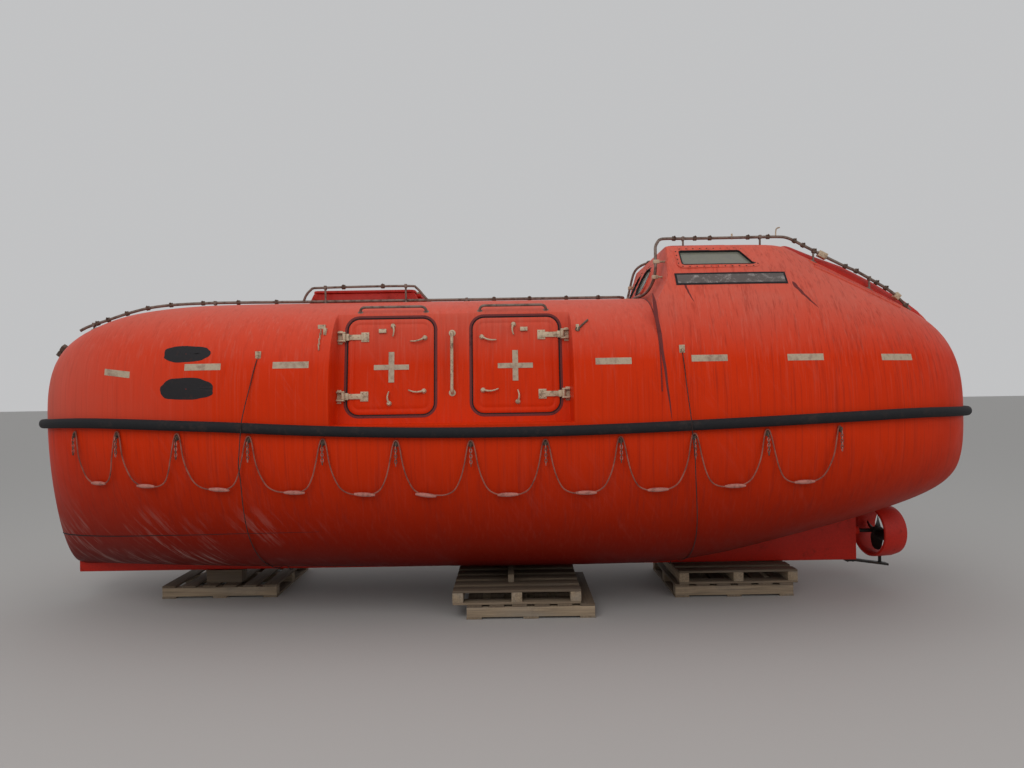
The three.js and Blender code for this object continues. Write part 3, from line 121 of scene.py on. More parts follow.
# Working out the form: every function takes and returns whole arrays.
def read(table, x, column=1):
    """Cubic Hermite curve through a table's rows, each slope from the rows on either side."""
    rows = np.asarray(table, float)
    knots, values = rows[:, 0], rows[:, column]
    before = np.r_[0, np.arange(len(rows) - 1)]
    after = np.r_[np.arange(1, len(rows)), len(rows) - 1]
    slopes = (values[after] - values[before]) / (knots[after] - knots[before])
    x = np.clip(x, knots[0], knots[-1])
    i = np.clip(np.searchsorted(knots, x, side="right") - 1, 0, len(rows) - 2)
    run = knots[i + 1] - knots[i]
    t = (x - knots[i]) / run
    start = (2 * t**3 - 3 * t**2 + 1) * values[i] + (t**3 - 2 * t**2 + t) * run * slopes[i]
    end = (3 * t**2 - 2 * t**3) * values[i + 1] + (t**3 - t**2) * run * slopes[i + 1]
    return start + end


def half_breadth(x, inset=0.0):
    """Plan of the gunwale: straight amidships, then a superellipse quarter to each end."""
    x = np.asarray(x, float)
    ends = np.where(x < 0, BOW_ROUND, STERN_ROUND)
    past = np.maximum(0, np.abs(x) - (HALF_LENGTH - ends))
    share = np.minimum(1, past / (ends - inset))
    return (HALF_BEAM - inset) * (1 - share**PLAN_POWER) ** (1 / PLAN_POWER)


def gunwale(x):
    """Height of the gunwale along the boat."""
    return read(SHEER, x)


def skin_y(table, x, z):
    """Half-width of the skin at x and z: half breadth times (1 - share of height ^ n) ^ (1/n)."""
    foot = gunwale(x)
    share = np.clip(np.abs((z - foot) / (read(table, x) - foot)), 0, 1)
    power = read(table, x, 2)
    return half_breadth(x) * (1 - share**power) ** (1 / power)


def skin_z(table, x, y):
    """Height of the skin at x and y, from the same superellipse."""
    foot = gunwale(x)
    power = read(table, x, 2)
    share = np.clip(np.abs(y) / half_breadth(x), 0, 1)
    return foot + (read(table, x) - foot) * (1 - share**power) ** (1 / power)


def stacked(x, y, z):
    """Three coordinates, spread over one grid, as an array of places."""
    return np.stack(np.broadcast_arrays(x, y, z), axis=-1)


def unit(vectors):
    """The vectors at length 1."""
    return vectors / np.maximum(1e-9, np.linalg.norm(vectors, axis=-1, keepdims=True))


def circle(steps):
    """Even angles once round."""
    return np.linspace(0, 2 * math.pi, steps, endpoint=False)


def ease(low, high, x):
    """Smooth step from 0 at low to 1 at high."""
    t = np.clip((x - low) / (high - low), 0, 1)
    return t * t * (3 - 2 * t)


def port_skin(table, x, z, sunk=0.0):
    """Places on the port skin at x and z, sunk in by a depth."""
    return stacked(x, sunk - skin_y(table, x, z), z)


def soft_min(a, b, reach):
    """Smaller of two arrays, with the corner between them rounded over the reach."""
    h = np.clip(reach - np.abs(a - b), 0, None) / reach
    return np.minimum(a, b) - h * h * reach / 4


def stations(low, high, arc, step, extra=()):
    """Places along the boat: even amidships, sine-spaced to each end, plus extra ones."""
    low, high = max(low, -HALF_LENGTH), min(high, HALF_LENGTH)
    turn = np.sin(np.linspace(0, 1, arc + 1)[1:] * math.pi / 2)
    bow, stern = BOW_ROUND - HALF_LENGTH, HALF_LENGTH - STERN_ROUND
    middle = np.linspace(bow, stern, int((stern - bow) / step) + 1)
    every = np.r_[bow - BOW_ROUND * turn, middle, stern + STERN_ROUND * turn, extra]
    every = np.unique(np.round(every, 5))
    inside = every[(every > low + 0.0015) & (every < high - 0.0015)]
    return np.r_[low, inside, high]


def sections(table, xs, inset=0.0, steps=40, levels=(), down=False):
    """Superellipse sections, port foot over the crest to starboard foot, as a grid of points.

    y = half breadth * cos(a)^(2/n) and z = foot + depth * sin(a)^(2/n). Each half has even angles
    and one more for every given level, sorted, so that a grid line lies at that height.
    """
    outer = xs * HALF_LENGTH / (HALF_LENGTH - inset)
    foot = gunwale(xs) + (-GAP if down else GAP) / 2
    depth = read(table, outer) + (inset if down else -inset) - foot
    power = read(table, outer, 2)
    even = np.broadcast_to(np.linspace(0, math.pi / 2, steps + 1), (len(xs), steps + 1))
    if len(levels):
        heights = np.broadcast_to(levels, (len(xs), np.shape(levels)[-1]))
        share = np.clip((heights - foot[:, None]) / depth[:, None], 0, 1)
        more = np.arcsin(share ** (power[:, None] / 2))
        even = np.sort(np.concatenate([even, more], axis=1), axis=1)
    angle = np.concatenate([even, math.pi - even[:, -2::-1]], axis=1)
    bend = 2 / power[:, None]
    across = np.abs(np.cos(angle)) ** bend * np.sign(np.cos(angle))
    up = np.clip(np.sin(angle), 0, 1) ** bend
    y, z = -half_breadth(xs, inset)[:, None] * across, foot[:, None] + depth[:, None] * up
    return stacked(xs[:, None], y, z)


def door_recess(grid, grow=0.0):
    """Draws the skin in to the leaning door panel, softly at both ends and at the sill."""
    x, y, z = grid[..., 0], np.abs(grid[..., 1]), grid[..., 2]
    panel = RECESS["foot"] + (z - RECESS["z0"]) * RECESS_SLOPE - grow / math.cos(LEAN)
    ends = ease(RECESS["x0"] - grow - 0.004, RECESS["x0"] - grow + 0.014, x)
    ends = ends * (1 - ease(RECESS["x1"] + grow - 0.014, RECESS["x1"] + grow + 0.004, x))
    sill = ease(RECESS["z0"] - 0.003, RECESS["z0"] + 0.008, z) if grow == 0 else 1.0
    drawn = soft_min(y, panel, 0.012)
    grid[..., 1] = np.sign(grid[..., 1]) * (y + (drawn - y) * ends * sill)
    return grid


def front_height(x, y, inset=0.0):
    """Height of the sloping front over x and y: straight between rows that fall back with y^2."""
    back = np.minimum(1, np.abs(y) / FRONT_REACH) ** 2
    rows = [(z, at + inset * 1.13 + fall * back) for z, at, fall in FRONT]
    height = np.full(np.shape(x), FRONT[0][0] - 0.4)
    for (z0, x0), (z1, x1) in zip(rows, rows[1:]):
        height = np.where(x > x0, z0 + (x - x0) / (x1 - x0) * (z1 - z0), height)
    return height


def steering_roof(grid, inset=0.0):
    """Cuts the dome with the flat roof and the sloping front, and rounds the edges between them."""
    x, y, z = grid[..., 0], grid[..., 1], grid[..., 2]
    reach = 0.024 if inset == 0 else 0.02
    z = soft_min(z, np.full_like(z, ROOF_Z - inset), reach)
    front = np.maximum(front_height(x, y, inset), gunwale(x))
    grid[..., 2] = soft_min(z, front, reach)
    return grid


# Shapes are pairs of an array of points and a list of faces.
def grid_faces(rows, columns, wrap_rows=False, wrap_columns=False):
    """Four-sided faces of a grid of points, joined round where it wraps."""
    r = np.arange(rows if wrap_rows else rows - 1)[:, None]
    c = np.arange(columns if wrap_columns else columns - 1)[None, :]
    r2, c2 = (r + 1) % rows, (c + 1) % columns
    quads = np.stack([r * columns + c, r * columns + c2, r2 * columns + c2, r2 * columns + c], axis=-1)
    return quads.reshape(-1, 4).tolist()


def sheet_shape(grid):
    """An open surface over a grid of points."""
    return grid.reshape(-1, 3), grid_faces(*grid.shape[:2])


def looped(grid):
    """A shape from rings of points, with its last ring joined to its first."""
    return grid.reshape(-1, 3), grid_faces(*grid.shape[:2], True, True)


def capped(grid):
    """A shape from rings of points, with its first and last ring filled."""
    rows, columns = grid.shape[:2]
    faces = grid_faces(rows, columns, wrap_columns=True)
    faces += [list(range(columns)), list(range((rows - 1) * columns, rows * columns))]
    return grid.reshape(-1, 3), faces


def closed_body(grid):
    """A solid from sections along the boat: each is closed from foot to foot, an open end is filled."""
    rows, columns = grid.shape[:2]
    faces = grid_faces(rows, columns, wrap_columns=True)
    for row in (0, rows - 1):
        if np.ptp(grid[row, :, 1]) > 0.001:
            faces.append(list(range(row * columns, (row + 1) * columns)))
    return grid.reshape(-1, 3), faces


def together(shapes):
    """Several shapes as one."""
    points, faces, at = [], [], 0
    for places, sides in shapes:
        points.append(np.asarray(places, float))
        faces += [[i + at for i in side] for side in sides]
        at += len(places)
    return np.concatenate(points), faces


def moved(shape, matrix):
    """A shape carried by a 4 x 4 matrix."""
    m = np.array(matrix, float)
    return np.asarray(shape[0]) @ m[:3, :3].T + m[:3, 3], shape[1]


def mirrored(shape, side):
    """The shape itself for port (1), its reflection across the centreline for starboard (-1)."""
    return np.asarray(shape[0], float) * np.array([1, side, 1]), shape[1]


def block(low, high):
    """A box between two corners."""
    (x0, y0, z0), (x1, y1, z1) = low, high
    points = np.array([(x, y, z) for x in (x0, x1) for y in (y0, y1) for z in (z0, z1)], float)
    faces = [[0, 1, 3, 2], [4, 6, 7, 5], [0, 4, 5, 1], [2, 3, 7, 6], [0, 2, 6, 4], [1, 5, 7, 3]]
    return points, faces


def rounded_outline(x0, x1, y0, y1, radius, steps=8):
    """A rounded rectangle: a quarter circle at each corner, joined by straight runs."""
    turn = np.linspace(0, math.pi / 2, steps + 1) + np.arange(4)[:, None] * math.pi / 2
    x = np.array([x1 - radius, x0 + radius, x0 + radius, x1 - radius])[:, None] + radius * np.cos(turn)
    y = np.array([y1 - radius, y1 - radius, y0 + radius, y0 + radius])[:, None] + radius * np.sin(turn)
    return np.stack([x, y], axis=-1).reshape(-1, 2)


def outward(edges):
    """Unit vectors square to an outline's edges, out of an anticlockwise one."""
    return unit(np.stack([edges[:, 1], -edges[:, 0]], axis=1))


def drawn_in(outline, inset):
    """An anticlockwise outline moved inwards along its own normals."""
    first = outward(outline - np.roll(outline, 1, axis=0))
    miter = first + outward(np.roll(outline, -1, axis=0) - outline)
    miter /= np.maximum(0.3, (miter * first).sum(axis=1))[:, None]
    return outline - miter * inset


def slab(outline, levels):
    """A plate over an outline: one ring for each (inset, height), filled at both ends."""
    rings = [np.c_[drawn_in(outline, inset), np.full(len(outline), height)] for inset, height in levels]
    return capped(np.stack(rings))


def upright(profile, half):
    """A plate on the centreline: a profile of (x, z), with half its thickness to each side."""
    x, z = np.array(profile, float).T
    return capped(np.stack([stacked(x, side, z) for side in (-half, half)]))


def facing(origin, axis):
    """Matrix that turns z to an axis and moves it to an origin."""
    turn = Vector((0, 0, 1)).rotation_difference(Vector(axis)).to_matrix().to_4x4()
    return Matrix.Translation(origin) @ turn


def lathe(profile, origin=(0, 0, 0), axis=(0, 0, 1), steps=20, hollow=False):
    """A turned shape: each (radius, height) of the profile goes round the axis."""
    radius, height = np.asarray(profile, float).T[..., None]
    angle = circle(steps)
    grid = stacked(radius * np.cos(angle), radius * np.sin(angle), height)
    return moved(looped(grid) if hollow else capped(grid), facing(origin, axis))


def ring(radius, thick, origin, axis, steps=16, sides=8):
    """A torus: a small circle carried round a large one."""
    u, v = circle(steps)[:, None], circle(sides)
    reach = radius + thick * np.cos(v)
    grid = stacked(reach * np.cos(u), reach * np.sin(u), thick * np.sin(v))
    return moved(looped(grid), facing(origin, axis))


def run_of(path):
    """Length along a path up to each of its places."""
    return np.r_[0, np.cumsum(np.linalg.norm(np.diff(path, axis=0), axis=1))]


def smooth_path(points, step):
    """A curve through the points, cubic between them, with places about one step apart."""
    p = np.asarray(points, float)
    run = np.linalg.norm(np.diff(p, axis=0), axis=1)
    at = np.r_[0, np.cumsum(np.sqrt(run))]
    fine = np.linspace(0, at[-1], len(p) * 24)
    curve = np.stack([read(np.c_[at, p[:, k]], fine) for k in range(3)], axis=1)
    along = run_of(curve)
    even = np.linspace(0, along[-1], max(3, int(round(along[-1] / step)) + 1))
    return np.stack([np.interp(even, along, curve[:, k]) for k in range(3)], axis=1)


def carried(path):
    """Two normals at each place of a path, carried along it untwisted."""
    tangent = unit(np.gradient(path, axis=0))
    start = np.cross(tangent[0], (0.0, 0.0, 1.0))
    if np.linalg.norm(start) < 0.1:
        start = np.cross(tangent[0], (1.0, 0.0, 0.0))
    first = np.empty_like(path)
    first[0] = unit(start)
    for i in range(1, len(path)):
        first[i] = unit(first[i - 1] - tangent[i] * first[i - 1].dot(tangent[i]))
    return first, np.cross(tangent, first)


def tube(path, radius, sides=12):
    """A circle along a path, of one radius, one for each place, or one for each of its points."""
    path, size = np.asarray(path, float), np.asarray(radius, float)
    first, second = carried(path)
    turn = circle(sides)[:, None]
    size = np.broadcast_to(size if size.ndim == 2 else size.reshape(-1, 1), (len(path), sides))
    around = np.cos(turn) * first[:, None] + np.sin(turn) * second[:, None]
    return capped(path[:, None] + size[..., None] * around)


def rod(start, end, radius, sides=12):
    """A round bar between two places, its rims eased by a fifth of its radius."""
    a, b = np.asarray(start, float), np.asarray(end, float)
    length = np.linalg.norm(b - a)
    rim = min(radius * 0.2, length * 0.2)
    profile = [(radius - rim, 0), (radius, rim), (radius, length - rim), (radius - rim, length)]
    return lathe(profile, a, (b - a) / length, sides)


# Making pieces.
MATERIALS = {}
SLOTS = {}


def in_scene(name, data):
    """An object for its data, linked into the scene."""
    made = bpy.data.objects.new(name, data)
    bpy.context.scene.collection.objects.link(made)
    return made


def object_from(name, shape, marks=None):
    """A mesh object at the origin, its doubled points merged and its faces turned outwards.

    Marks are named values for every point, of one number or of three.
    """
    mesh = bpy.data.meshes.new(name)
    mesh.from_pydata(np.asarray(shape[0], float).tolist(), [], shape[1])
    for label, values in (marks or {}).items():
        kind, field = ("FLOAT_VECTOR", "vector") if np.ndim(values) > 1 else ("FLOAT", "value")
        mark = mesh.attributes.new(label, kind, "POINT")
        mark.data.foreach_set(field, np.asarray(values, float).reshape(-1))
    body = bmesh.new()
    body.from_mesh(mesh)
    bmesh.ops.remove_doubles(body, verts=body.verts, dist=1e-5)
    bmesh.ops.dissolve_degenerate(body, edges=body.edges, dist=1e-6)
    bmesh.ops.recalc_face_normals(body, faces=body.faces)
    body.to_mesh(mesh)
    body.free()
    return in_scene(name, mesh)


def settle(piece):
    """Gives a piece the mesh that its modifiers make, and takes them off."""
    shown = piece.evaluated_get(bpy.context.evaluated_depsgraph_get())
    mesh = bpy.data.meshes.new_from_object(shown)
    piece.modifiers.clear()
    piece.data = mesh


def carve(piece, cutters):
    """Cuts a solid with objects or shapes, one after another, and removes them."""
    tools = [tool if isinstance(tool, bpy.types.Object) else object_from("tool", tool) for tool in cutters]
    for tool in tools:
        cut = piece.modifiers.new("cut", "BOOLEAN")
        cut.operation = "DIFFERENCE"
        cut.solver = "MANIFOLD"
        cut.object = tool
    settle(piece)
    for tool in tools:
        bpy.data.objects.remove(tool)
    if not piece.data.polygons:
        raise RuntimeError(piece.name + " came out empty from its cuts")
    return piece


def finished(piece, finish, body="boat", replaces=(), sharp=35.0, bevel=0.0):
    """Gives a piece its finish, its shading, its body and the nodes that it stands for."""
    piece.data.materials.clear()
    piece.data.materials.append(MATERIALS[finish])
    if bevel:
        edge = piece.modifiers.new("eased edges", "BEVEL")
        edge.width = bevel
        edge.segments = 2
        edge.limit_method = "ANGLE"
        edge.angle_limit = math.radians(40)
        settle(piece)
    piece.data.shade_smooth()
    piece.data.set_sharp_from_angle(angle=math.radians(sharp))
    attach(piece, body)
    if replaces:
        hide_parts(*replaces)
    return piece


def piece_of(name, shapes, finish, **how):
    """One piece from one or several shapes."""
    shape = together(shapes) if isinstance(shapes, list) else shapes
    return finished(object_from(name, shape), finish, **how)


# Frames for pieces on flat faces: x along the boat, y up the face, z out of it.
def plane_frame(origin, along, up):
    """Frame of a plane through the origin: x along, y near up, z out."""
    a = Vector(along).normalized()
    out = a.cross(Vector(up)).normalized()
    return Matrix.Translation(origin) @ Matrix((a, out.cross(a), out)).transposed().to_4x4()


def front_x(y, z):
    """Where the sloping front is at y and z."""
    heights = [row[0] for row in FRONT]
    back = np.interp(z, heights, [row[2] for row in FRONT]) * min(1, abs(y) / FRONT_REACH) ** 2
    return float(np.interp(z, heights, [row[1] for row in FRONT]) + back)


def pair(name, shapes, finish, body="boat", replaces=(), sides=SIDES, **how):
    """A piece for each side from the port one's shapes; {} in a name becomes the side's word."""
    shape = together(shapes) if isinstance(shapes, list) else shapes
    for word, side in sides:
        nodes = [node.format(word) for node in replaces]
        shown = mirrored(shape, side)
        piece_of(name.format(word), shown, finish, body=body.format(word), replaces=nodes, **how)


# Foot and head of the side window on the skin.
PANE_FOOT, PANE_HEAD = port_skin(DOME, 1.7, 2.965), port_skin(DOME, 1.7, 3.12)
# Each pane: name, frame, outline, in metres.
WINDOWS = [
    (
        "side_window",
        plane_frame((1.545, *PANE_FOOT[1:]), (1, 0, 0), PANE_HEAD - PANE_FOOT),
        [(-0.03, -0.008), (0.575, -0.008), (0.562, 0.014), (0.485, 0.195), (-0.026, 0.195)],
    ),
    (
        "front_window",
        plane_frame((front_x(-0.24, 2.925), -0.24, 2.925), (0.04, -1, 0), (0.47, 0, 1)),
        [(-0.1, -0.13), (0.1, -0.13), (0.17, -0.06), (0.17, 0.06)]
        + [(0.1, 0.13), (-0.1, 0.13), (-0.17, 0.06), (-0.17, -0.06)],
    ),
]


# Sizes and colours that a user would change.
def colour(name, description, default):
    """A colour in the panel, as linear red, green and blue."""
    return FloatVectorProperty(
        name=name, description=description, subtype="COLOR", size=3, min=0, max=1, default=default
    )


def length(name, description, default):
    """A length in the panel, in metres."""
    return FloatProperty(name=name, description=description, unit="LENGTH", min=0.0005, default=default)


class BoatColours(bpy.types.PropertyGroup):
    """Colours of the boat's finishes."""

    gelcoat: colour("Gelcoat", "Orange-red skin of hull and canopy", (0.66, 0.033, 0.003))
    # Painted shade: the colour the skin darkens to towards the keel.
    low_gelcoat: colour("Low gelcoat", "The skin towards the keel", (0.11, 0.0025, 0.0008))
    # The paler, pinker skin on the canopy's top and at the bow, in patches.
    faded_gelcoat: colour("Faded gelcoat", "The skin where sun has bleached it", (0.64, 0.19, 0.14))
    deep_red: colour("Deep red", "Lids, keel and nozzle", (0.5, 0.014, 0.004))
    rubber: colour("Rubber", "Fender and gaskets", (0.012, 0.012, 0.014))
    steel: colour("Fittings", "Beige-grey paint of fittings and hinges", (0.54, 0.42, 0.29))
    pipe: colour("Pipes", "Brown-grey spray pipes", (0.23, 0.17, 0.14))
    bronze: colour("Bronze", "Propeller, stem eye and heel bar", (0.03, 0.028, 0.026))
    rope: colour("Grab lines", "Pale pink-brown rope", (0.5, 0.17, 0.12))
    line: colour("Securing lines", "Dark thin line", (0.08, 0.05, 0.045))
    float_pink: colour("Floats", "Faded pink floats", (0.5, 0.2, 0.16))
    wood: colour("Wood", "Weathered pine", (0.4, 0.3, 0.2))
    tape: colour("Tape", "Grey-beige reflective tape", (0.47, 0.37, 0.26))
    glass: colour("Glass", "Dusty pane", (0.23, 0.225, 0.175))
    machine: colour("Machinery", "Grey-blue paint inside", (0.1, 0.13, 0.147))
    moulding: colour("Moulding", "Pale moulded benches", (0.52, 0.5, 0.45))
    cushion: colour("Cushion", "Dark red covering of the helm seat", (0.16, 0.023, 0.012))


class BoatSizes(bpy.types.PropertyGroup):
    """Sizes of the dressing, in metres."""

    pipe: length("Pipe radius", "Radius of the main spray pipes", 0.013)
    nozzle: length("Spray fitting radius", "Radius of the fittings on the pipes", 0.019)
    gasket: length("Door gasket", "Width of the dark seal round each door", 0.0072)
    cross: length("Cross", "Width of the reflective cross on each door", 0.285)
    link: length("Chain link", "Length of a link of the chains at the eyes", 0.03)
    rivet: length("Rivet radius", "Radius of the window rivets", 0.0065)
    tape: length("Tape height", "Height of the tapes above the fender", 0.052)
    blade_thick: length("Blade", "Thickness of the propeller's blades", 0.0092)
    rope_step: length("Rope step", "Length between the rings of points of a rope", 0.008)
    nails: IntProperty(name="Nails", description="Nails at each crossing of boards", min=1, max=4, default=2)


def settings():
    """The sizes and colours of this scene."""
    return bpy.context.scene.lifeboat_sizes, bpy.context.scene.lifeboat_colours


# Finishes.
def put(tree, kind, given=(), **settings_of):
    """Adds a node with its settings; each input is given a value or the socket that feeds it."""
    made = tree.nodes.new(kind)
    for name, value in settings_of.items():
        setattr(made, name, value)
    for key, value in dict(given).items():
        socket = made.inputs[key]
        if isinstance(value, bpy.types.NodeSocket):
            tree.links.new(value, socket)
        else:
            socket.default_value = (*value, 1) if socket.type == "RGBA" else value
    return made


def math_node(tree, operation, a, b):
    """One step of sums on two values."""
    return put(tree, "ShaderNodeMath", {0: a, 1: b}, operation=operation).outputs[0]


def times(tree, a, b):
    """Product of two values."""
    return math_node(tree, "MULTIPLY", a, b)


def limits(tree, value, low, high, to_low=0.0, to_high=1.0):
    """Maps a value from one range to another, clamped."""
    given = {"Value": value, "From Min": low, "From Max": high, "To Min": to_low, "To Max": to_high}
    return put(tree, "ShaderNodeMapRange", given).outputs["Result"]


def stretched(tree, vector, scale, offset=(0, 0, 0)):
    """The coordinates, scaled on each axis and then moved."""
    given = {"Vector": vector, "Scale": scale, "Location": offset}
    return put(tree, "ShaderNodeMapping", given).outputs["Vector"]


def noise(tree, vector, scale, detail=4.0, rough=0.55, twist=0.0):
    """Noise at a scale."""
    given = {"Vector": vector, "Scale": scale, "Detail": detail, "Roughness": rough, "Distortion": twist}
    return put(tree, "ShaderNodeTexNoise", given).outputs["Fac"]


def mixed(tree, share, a, b, blend="MIX"):
    """Mixes two colours by a share; each colour is a socket or red, green and blue."""
    given = {0: share, 6: a, 7: b}
    return put(tree, "ShaderNodeMix", given, data_type="RGBA", blend_type=blend).outputs[2]


def shared_group(name, values, outputs):
    """An empty node group with a vector and named values: its tree, its inputs and its outputs."""
    tree = bpy.data.node_groups.new(name, "ShaderNodeTree")
    tree.interface.new_socket("Vector", in_out="INPUT", socket_type="NodeSocketVector")
    for label, default in values.items():
        socket = tree.interface.new_socket(label, in_out="INPUT", socket_type="NodeSocketFloat")
        socket.default_value = default
    for label in outputs:
        tree.interface.new_socket(label, in_out="OUTPUT", socket_type="NodeSocketFloat")
    return tree, tree.nodes.new("NodeGroupInput").outputs, tree.nodes.new("NodeGroupOutput").inputs


def weather_group():
    """Run-off streaks, blotches, fine speckle and faint scuffs over a surface.

    Streaks are noise squeezed across and drawn out in height; the others are noise at rising scales.
    """
    masks = ("Streaks", "Pale Streaks", "Blotches", "Speckle", "Scuffs", "Height")
    tree, given, result = shared_group("Weather", {"Streak Width": 32.0}, masks)
    vector, width = given["Vector"], given["Streak Width"]
    parts = put(tree, "ShaderNodeSeparateXYZ", {"Vector": vector}).outputs
    axes = {
        "X": times(tree, parts["X"], width),
        "Y": times(tree, times(tree, parts["Y"], 0.28), width),
        "Z": times(tree, parts["Z"], 0.6),
    }
    drawn = put(tree, "ShaderNodeCombineXYZ", axes).outputs["Vector"]
    streaks = noise(tree, drawn, 1.0, 5.0, 0.62)
    thin = noise(tree, stretched(tree, drawn, (3.1, 3.1, 0.7), (7, 3, 1)), 1.0, 3.0, 0.6)
    both = math_node(tree, "ADD", times(tree, streaks, 0.65), times(tree, thin, 0.35))
    pale = noise(tree, stretched(tree, drawn, (1.7, 1.7, 0.5), (3, 11, 5)), 1.0, 5.0, 0.7)
    speckle = noise(tree, vector, 130.0, 2.0, 0.7)
    slant = {"Vector": vector, "Rotation": (0, math.radians(-57), 0)}
    turned = put(tree, "ShaderNodeMapping", slant)
    scuffs = noise(tree, stretched(tree, turned.outputs["Vector"], (2.2, 1.0, 22.0)), 1.0, 6.0, 0.7, 0.15)
    patches = limits(tree, noise(tree, vector, 1.6, 3.0, 0.6), 0.42, 0.6)
    made = (
        limits(tree, both, 0.5, 0.64),
        limits(tree, pale, 0.52, 0.68),
        limits(tree, noise(tree, vector, 1.7, 5.0, 0.6), 0.4, 0.66),
        limits(tree, speckle, 0.6, 0.74),
        times(tree, limits(tree, scuffs, 0.5, 0.66), patches),
        math_node(tree, "ADD", noise(tree, vector, 3.2, 2.0, 0.5), times(tree, speckle, 0.04)),
    )
    for label, value in zip(masks, made):
        tree.links.new(value, result[label])
    return tree


def rust_group():
    """Patches of rust or dirt: two noises together, with a clear edge."""
    tree, given, result = shared_group("Rust", {"Scale": 18.0, "Amount": 0.4}, ("Mask", "Height"))
    coarse = noise(tree, given["Vector"], given["Scale"], 6.0, 0.65)
    fine = noise(tree, given["Vector"], times(tree, given["Scale"], 6.0), 3.0, 0.7)
    both = math_node(tree, "ADD", times(tree, coarse, 0.7), times(tree, fine, 0.3))
    lifted = math_node(tree, "ADD", both, times(tree, given["Amount"], 0.3))
    tree.links.new(limits(tree, lifted, 0.58, 0.7), result["Mask"])
    tree.links.new(fine, result["Height"])
    return tree


def material(name, slot, roughness=0.5, metallic=0.0, specular=0.3):
    """A material in a slot: its tree, its plain shader and its coordinates."""
    made = bpy.data.materials.new(name)
    made.use_nodes = True
    tree = made.node_tree
    shader = tree.nodes["Principled BSDF"]
    for socket, value in (("Roughness", roughness), ("Metallic", metallic), ("Specular IOR Level", specular)):
        shader.inputs[socket].default_value = value
    MATERIALS[name], SLOTS[name] = made, slot
    return tree, shader, tree.nodes.new("ShaderNodeTexCoord").outputs["Object"]


def placed(tree, group, vector, **values):
    """A shared group placed in a material, with its own values: its outputs."""
    return put(tree, "ShaderNodeGroup", {"Vector": vector, **values}, node_tree=group).outputs


def feed(tree, shader, base, rough=None, bump=None):
    """Feeds the shader a colour, a roughness, and a bump of height, strength and distance."""
    tree.links.new(base, shader.inputs["Base Color"])
    if rough is not None:
        tree.links.new(rough, shader.inputs["Roughness"])
    if bump is not None:
        height, strength, distance = bump
        made = put(tree, "ShaderNodeBump", {"Height": height, "Strength": strength, "Distance": distance})
        tree.links.new(made.outputs["Normal"], shader.inputs["Normal"])


def gelcoat_material(name, weather, colours, canopy):
    """Weathered gelcoat: painted shade darkens it towards the keel; paler on top and at the bow, streaked and
    scuffed.
    """
    tree, shader, vector = material(name, "gelcoat", specular=0.06)
    wear = placed(tree, weather, vector)
    parts = put(tree, "ShaderNodeSeparateXYZ", {"Vector": vector}).outputs
    # Painted shade: the skin darkens towards the keel, from z 1.55 down to 0.4.
    low = limits(tree, parts["Z"], 1.55, 0.4)
    base = mixed(tree, low, tuple(colours.gelcoat), tuple(colours.low_gelcoat))
    if canopy:
        # Paler in patches at the bow and on the canopy's top.
        bow = times(tree, limits(tree, parts["X"], -2.2, -4.1), 0.55)
        top = times(tree, limits(tree, parts["Z"], 2.15, 2.65), 0.64)
        bleached = math_node(tree, "MAXIMUM", bow, top)
        upper = times(tree, bleached, limits(tree, parts["Z"], 1.5, 1.75))
        patchy = times(tree, upper, limits(tree, wear["Blotches"], 0.0, 1.0, 0.65, 1.0))
        base = mixed(tree, patchy, base, tuple(colours.faded_gelcoat))
        aft = limits(tree, parts["X"], 0.9, 1.7, 0.16, 0.38)
        salt = times(tree, limits(tree, wear["Scuffs"], 0.35, 1.0), 0.03)
    else:
        aft = 0.36
        bow = times(tree, limits(tree, parts["X"], -1.4, -2.4), limits(tree, parts["Z"], 1.05, 0.7))
        salt = times(tree, wear["Scuffs"], limits(tree, bow, 0.0, 1.0, 0.02, 0.7))
    high = limits(tree, parts["Z"], 1.7, 2.7, 0.04, 0.22)
    layers = (
        (times(tree, wear["Streaks"], aft), (0.2, 0.018, 0.012)),
        (times(tree, wear["Pale Streaks"], high), (0.62, 0.24, 0.18)),
        (times(tree, wear["Blotches"], 0.12), (0.34, 0.012, 0.004)),
        (times(tree, wear["Speckle"], 0.1), (0.08, 0.02, 0.02)),
        (salt, (0.5, 0.34, 0.3)),
    )
    for share, colour_of in layers:
        base = mixed(tree, share, base, colour_of)
    rough = limits(tree, wear["Blotches"], 0.0, 1.0, 0.42, 0.6)
    feed(tree, shader, base, rough, (wear["Height"], 0.25, 0.004))


def painted_material(name, slot, colour, rust, amount, dirt, roughness, metallic, scale, bump):
    """Paint or metal with patches of dirt or rust."""
    tree, shader, vector = material(name, slot, roughness, metallic)
    wear = placed(tree, rust, vector, Scale=scale, Amount=amount)
    base = mixed(tree, times(tree, wear["Mask"], 0.75), colour, dirt)
    shade = limits(tree, wear["Height"], 0.3, 0.7, 0.86, 1.08)
    grey = put(tree, "ShaderNodeCombineColor", {"Red": shade, "Green": shade, "Blue": shade})
    base = mixed(tree, 1.0, base, grey.outputs["Color"], "MULTIPLY")
    rough = limits(tree, wear["Mask"], 0.0, 1.0, roughness, min(1, roughness + 0.25))
    feed(tree, shader, base, rough, (wear["Height"], 0.35, bump))


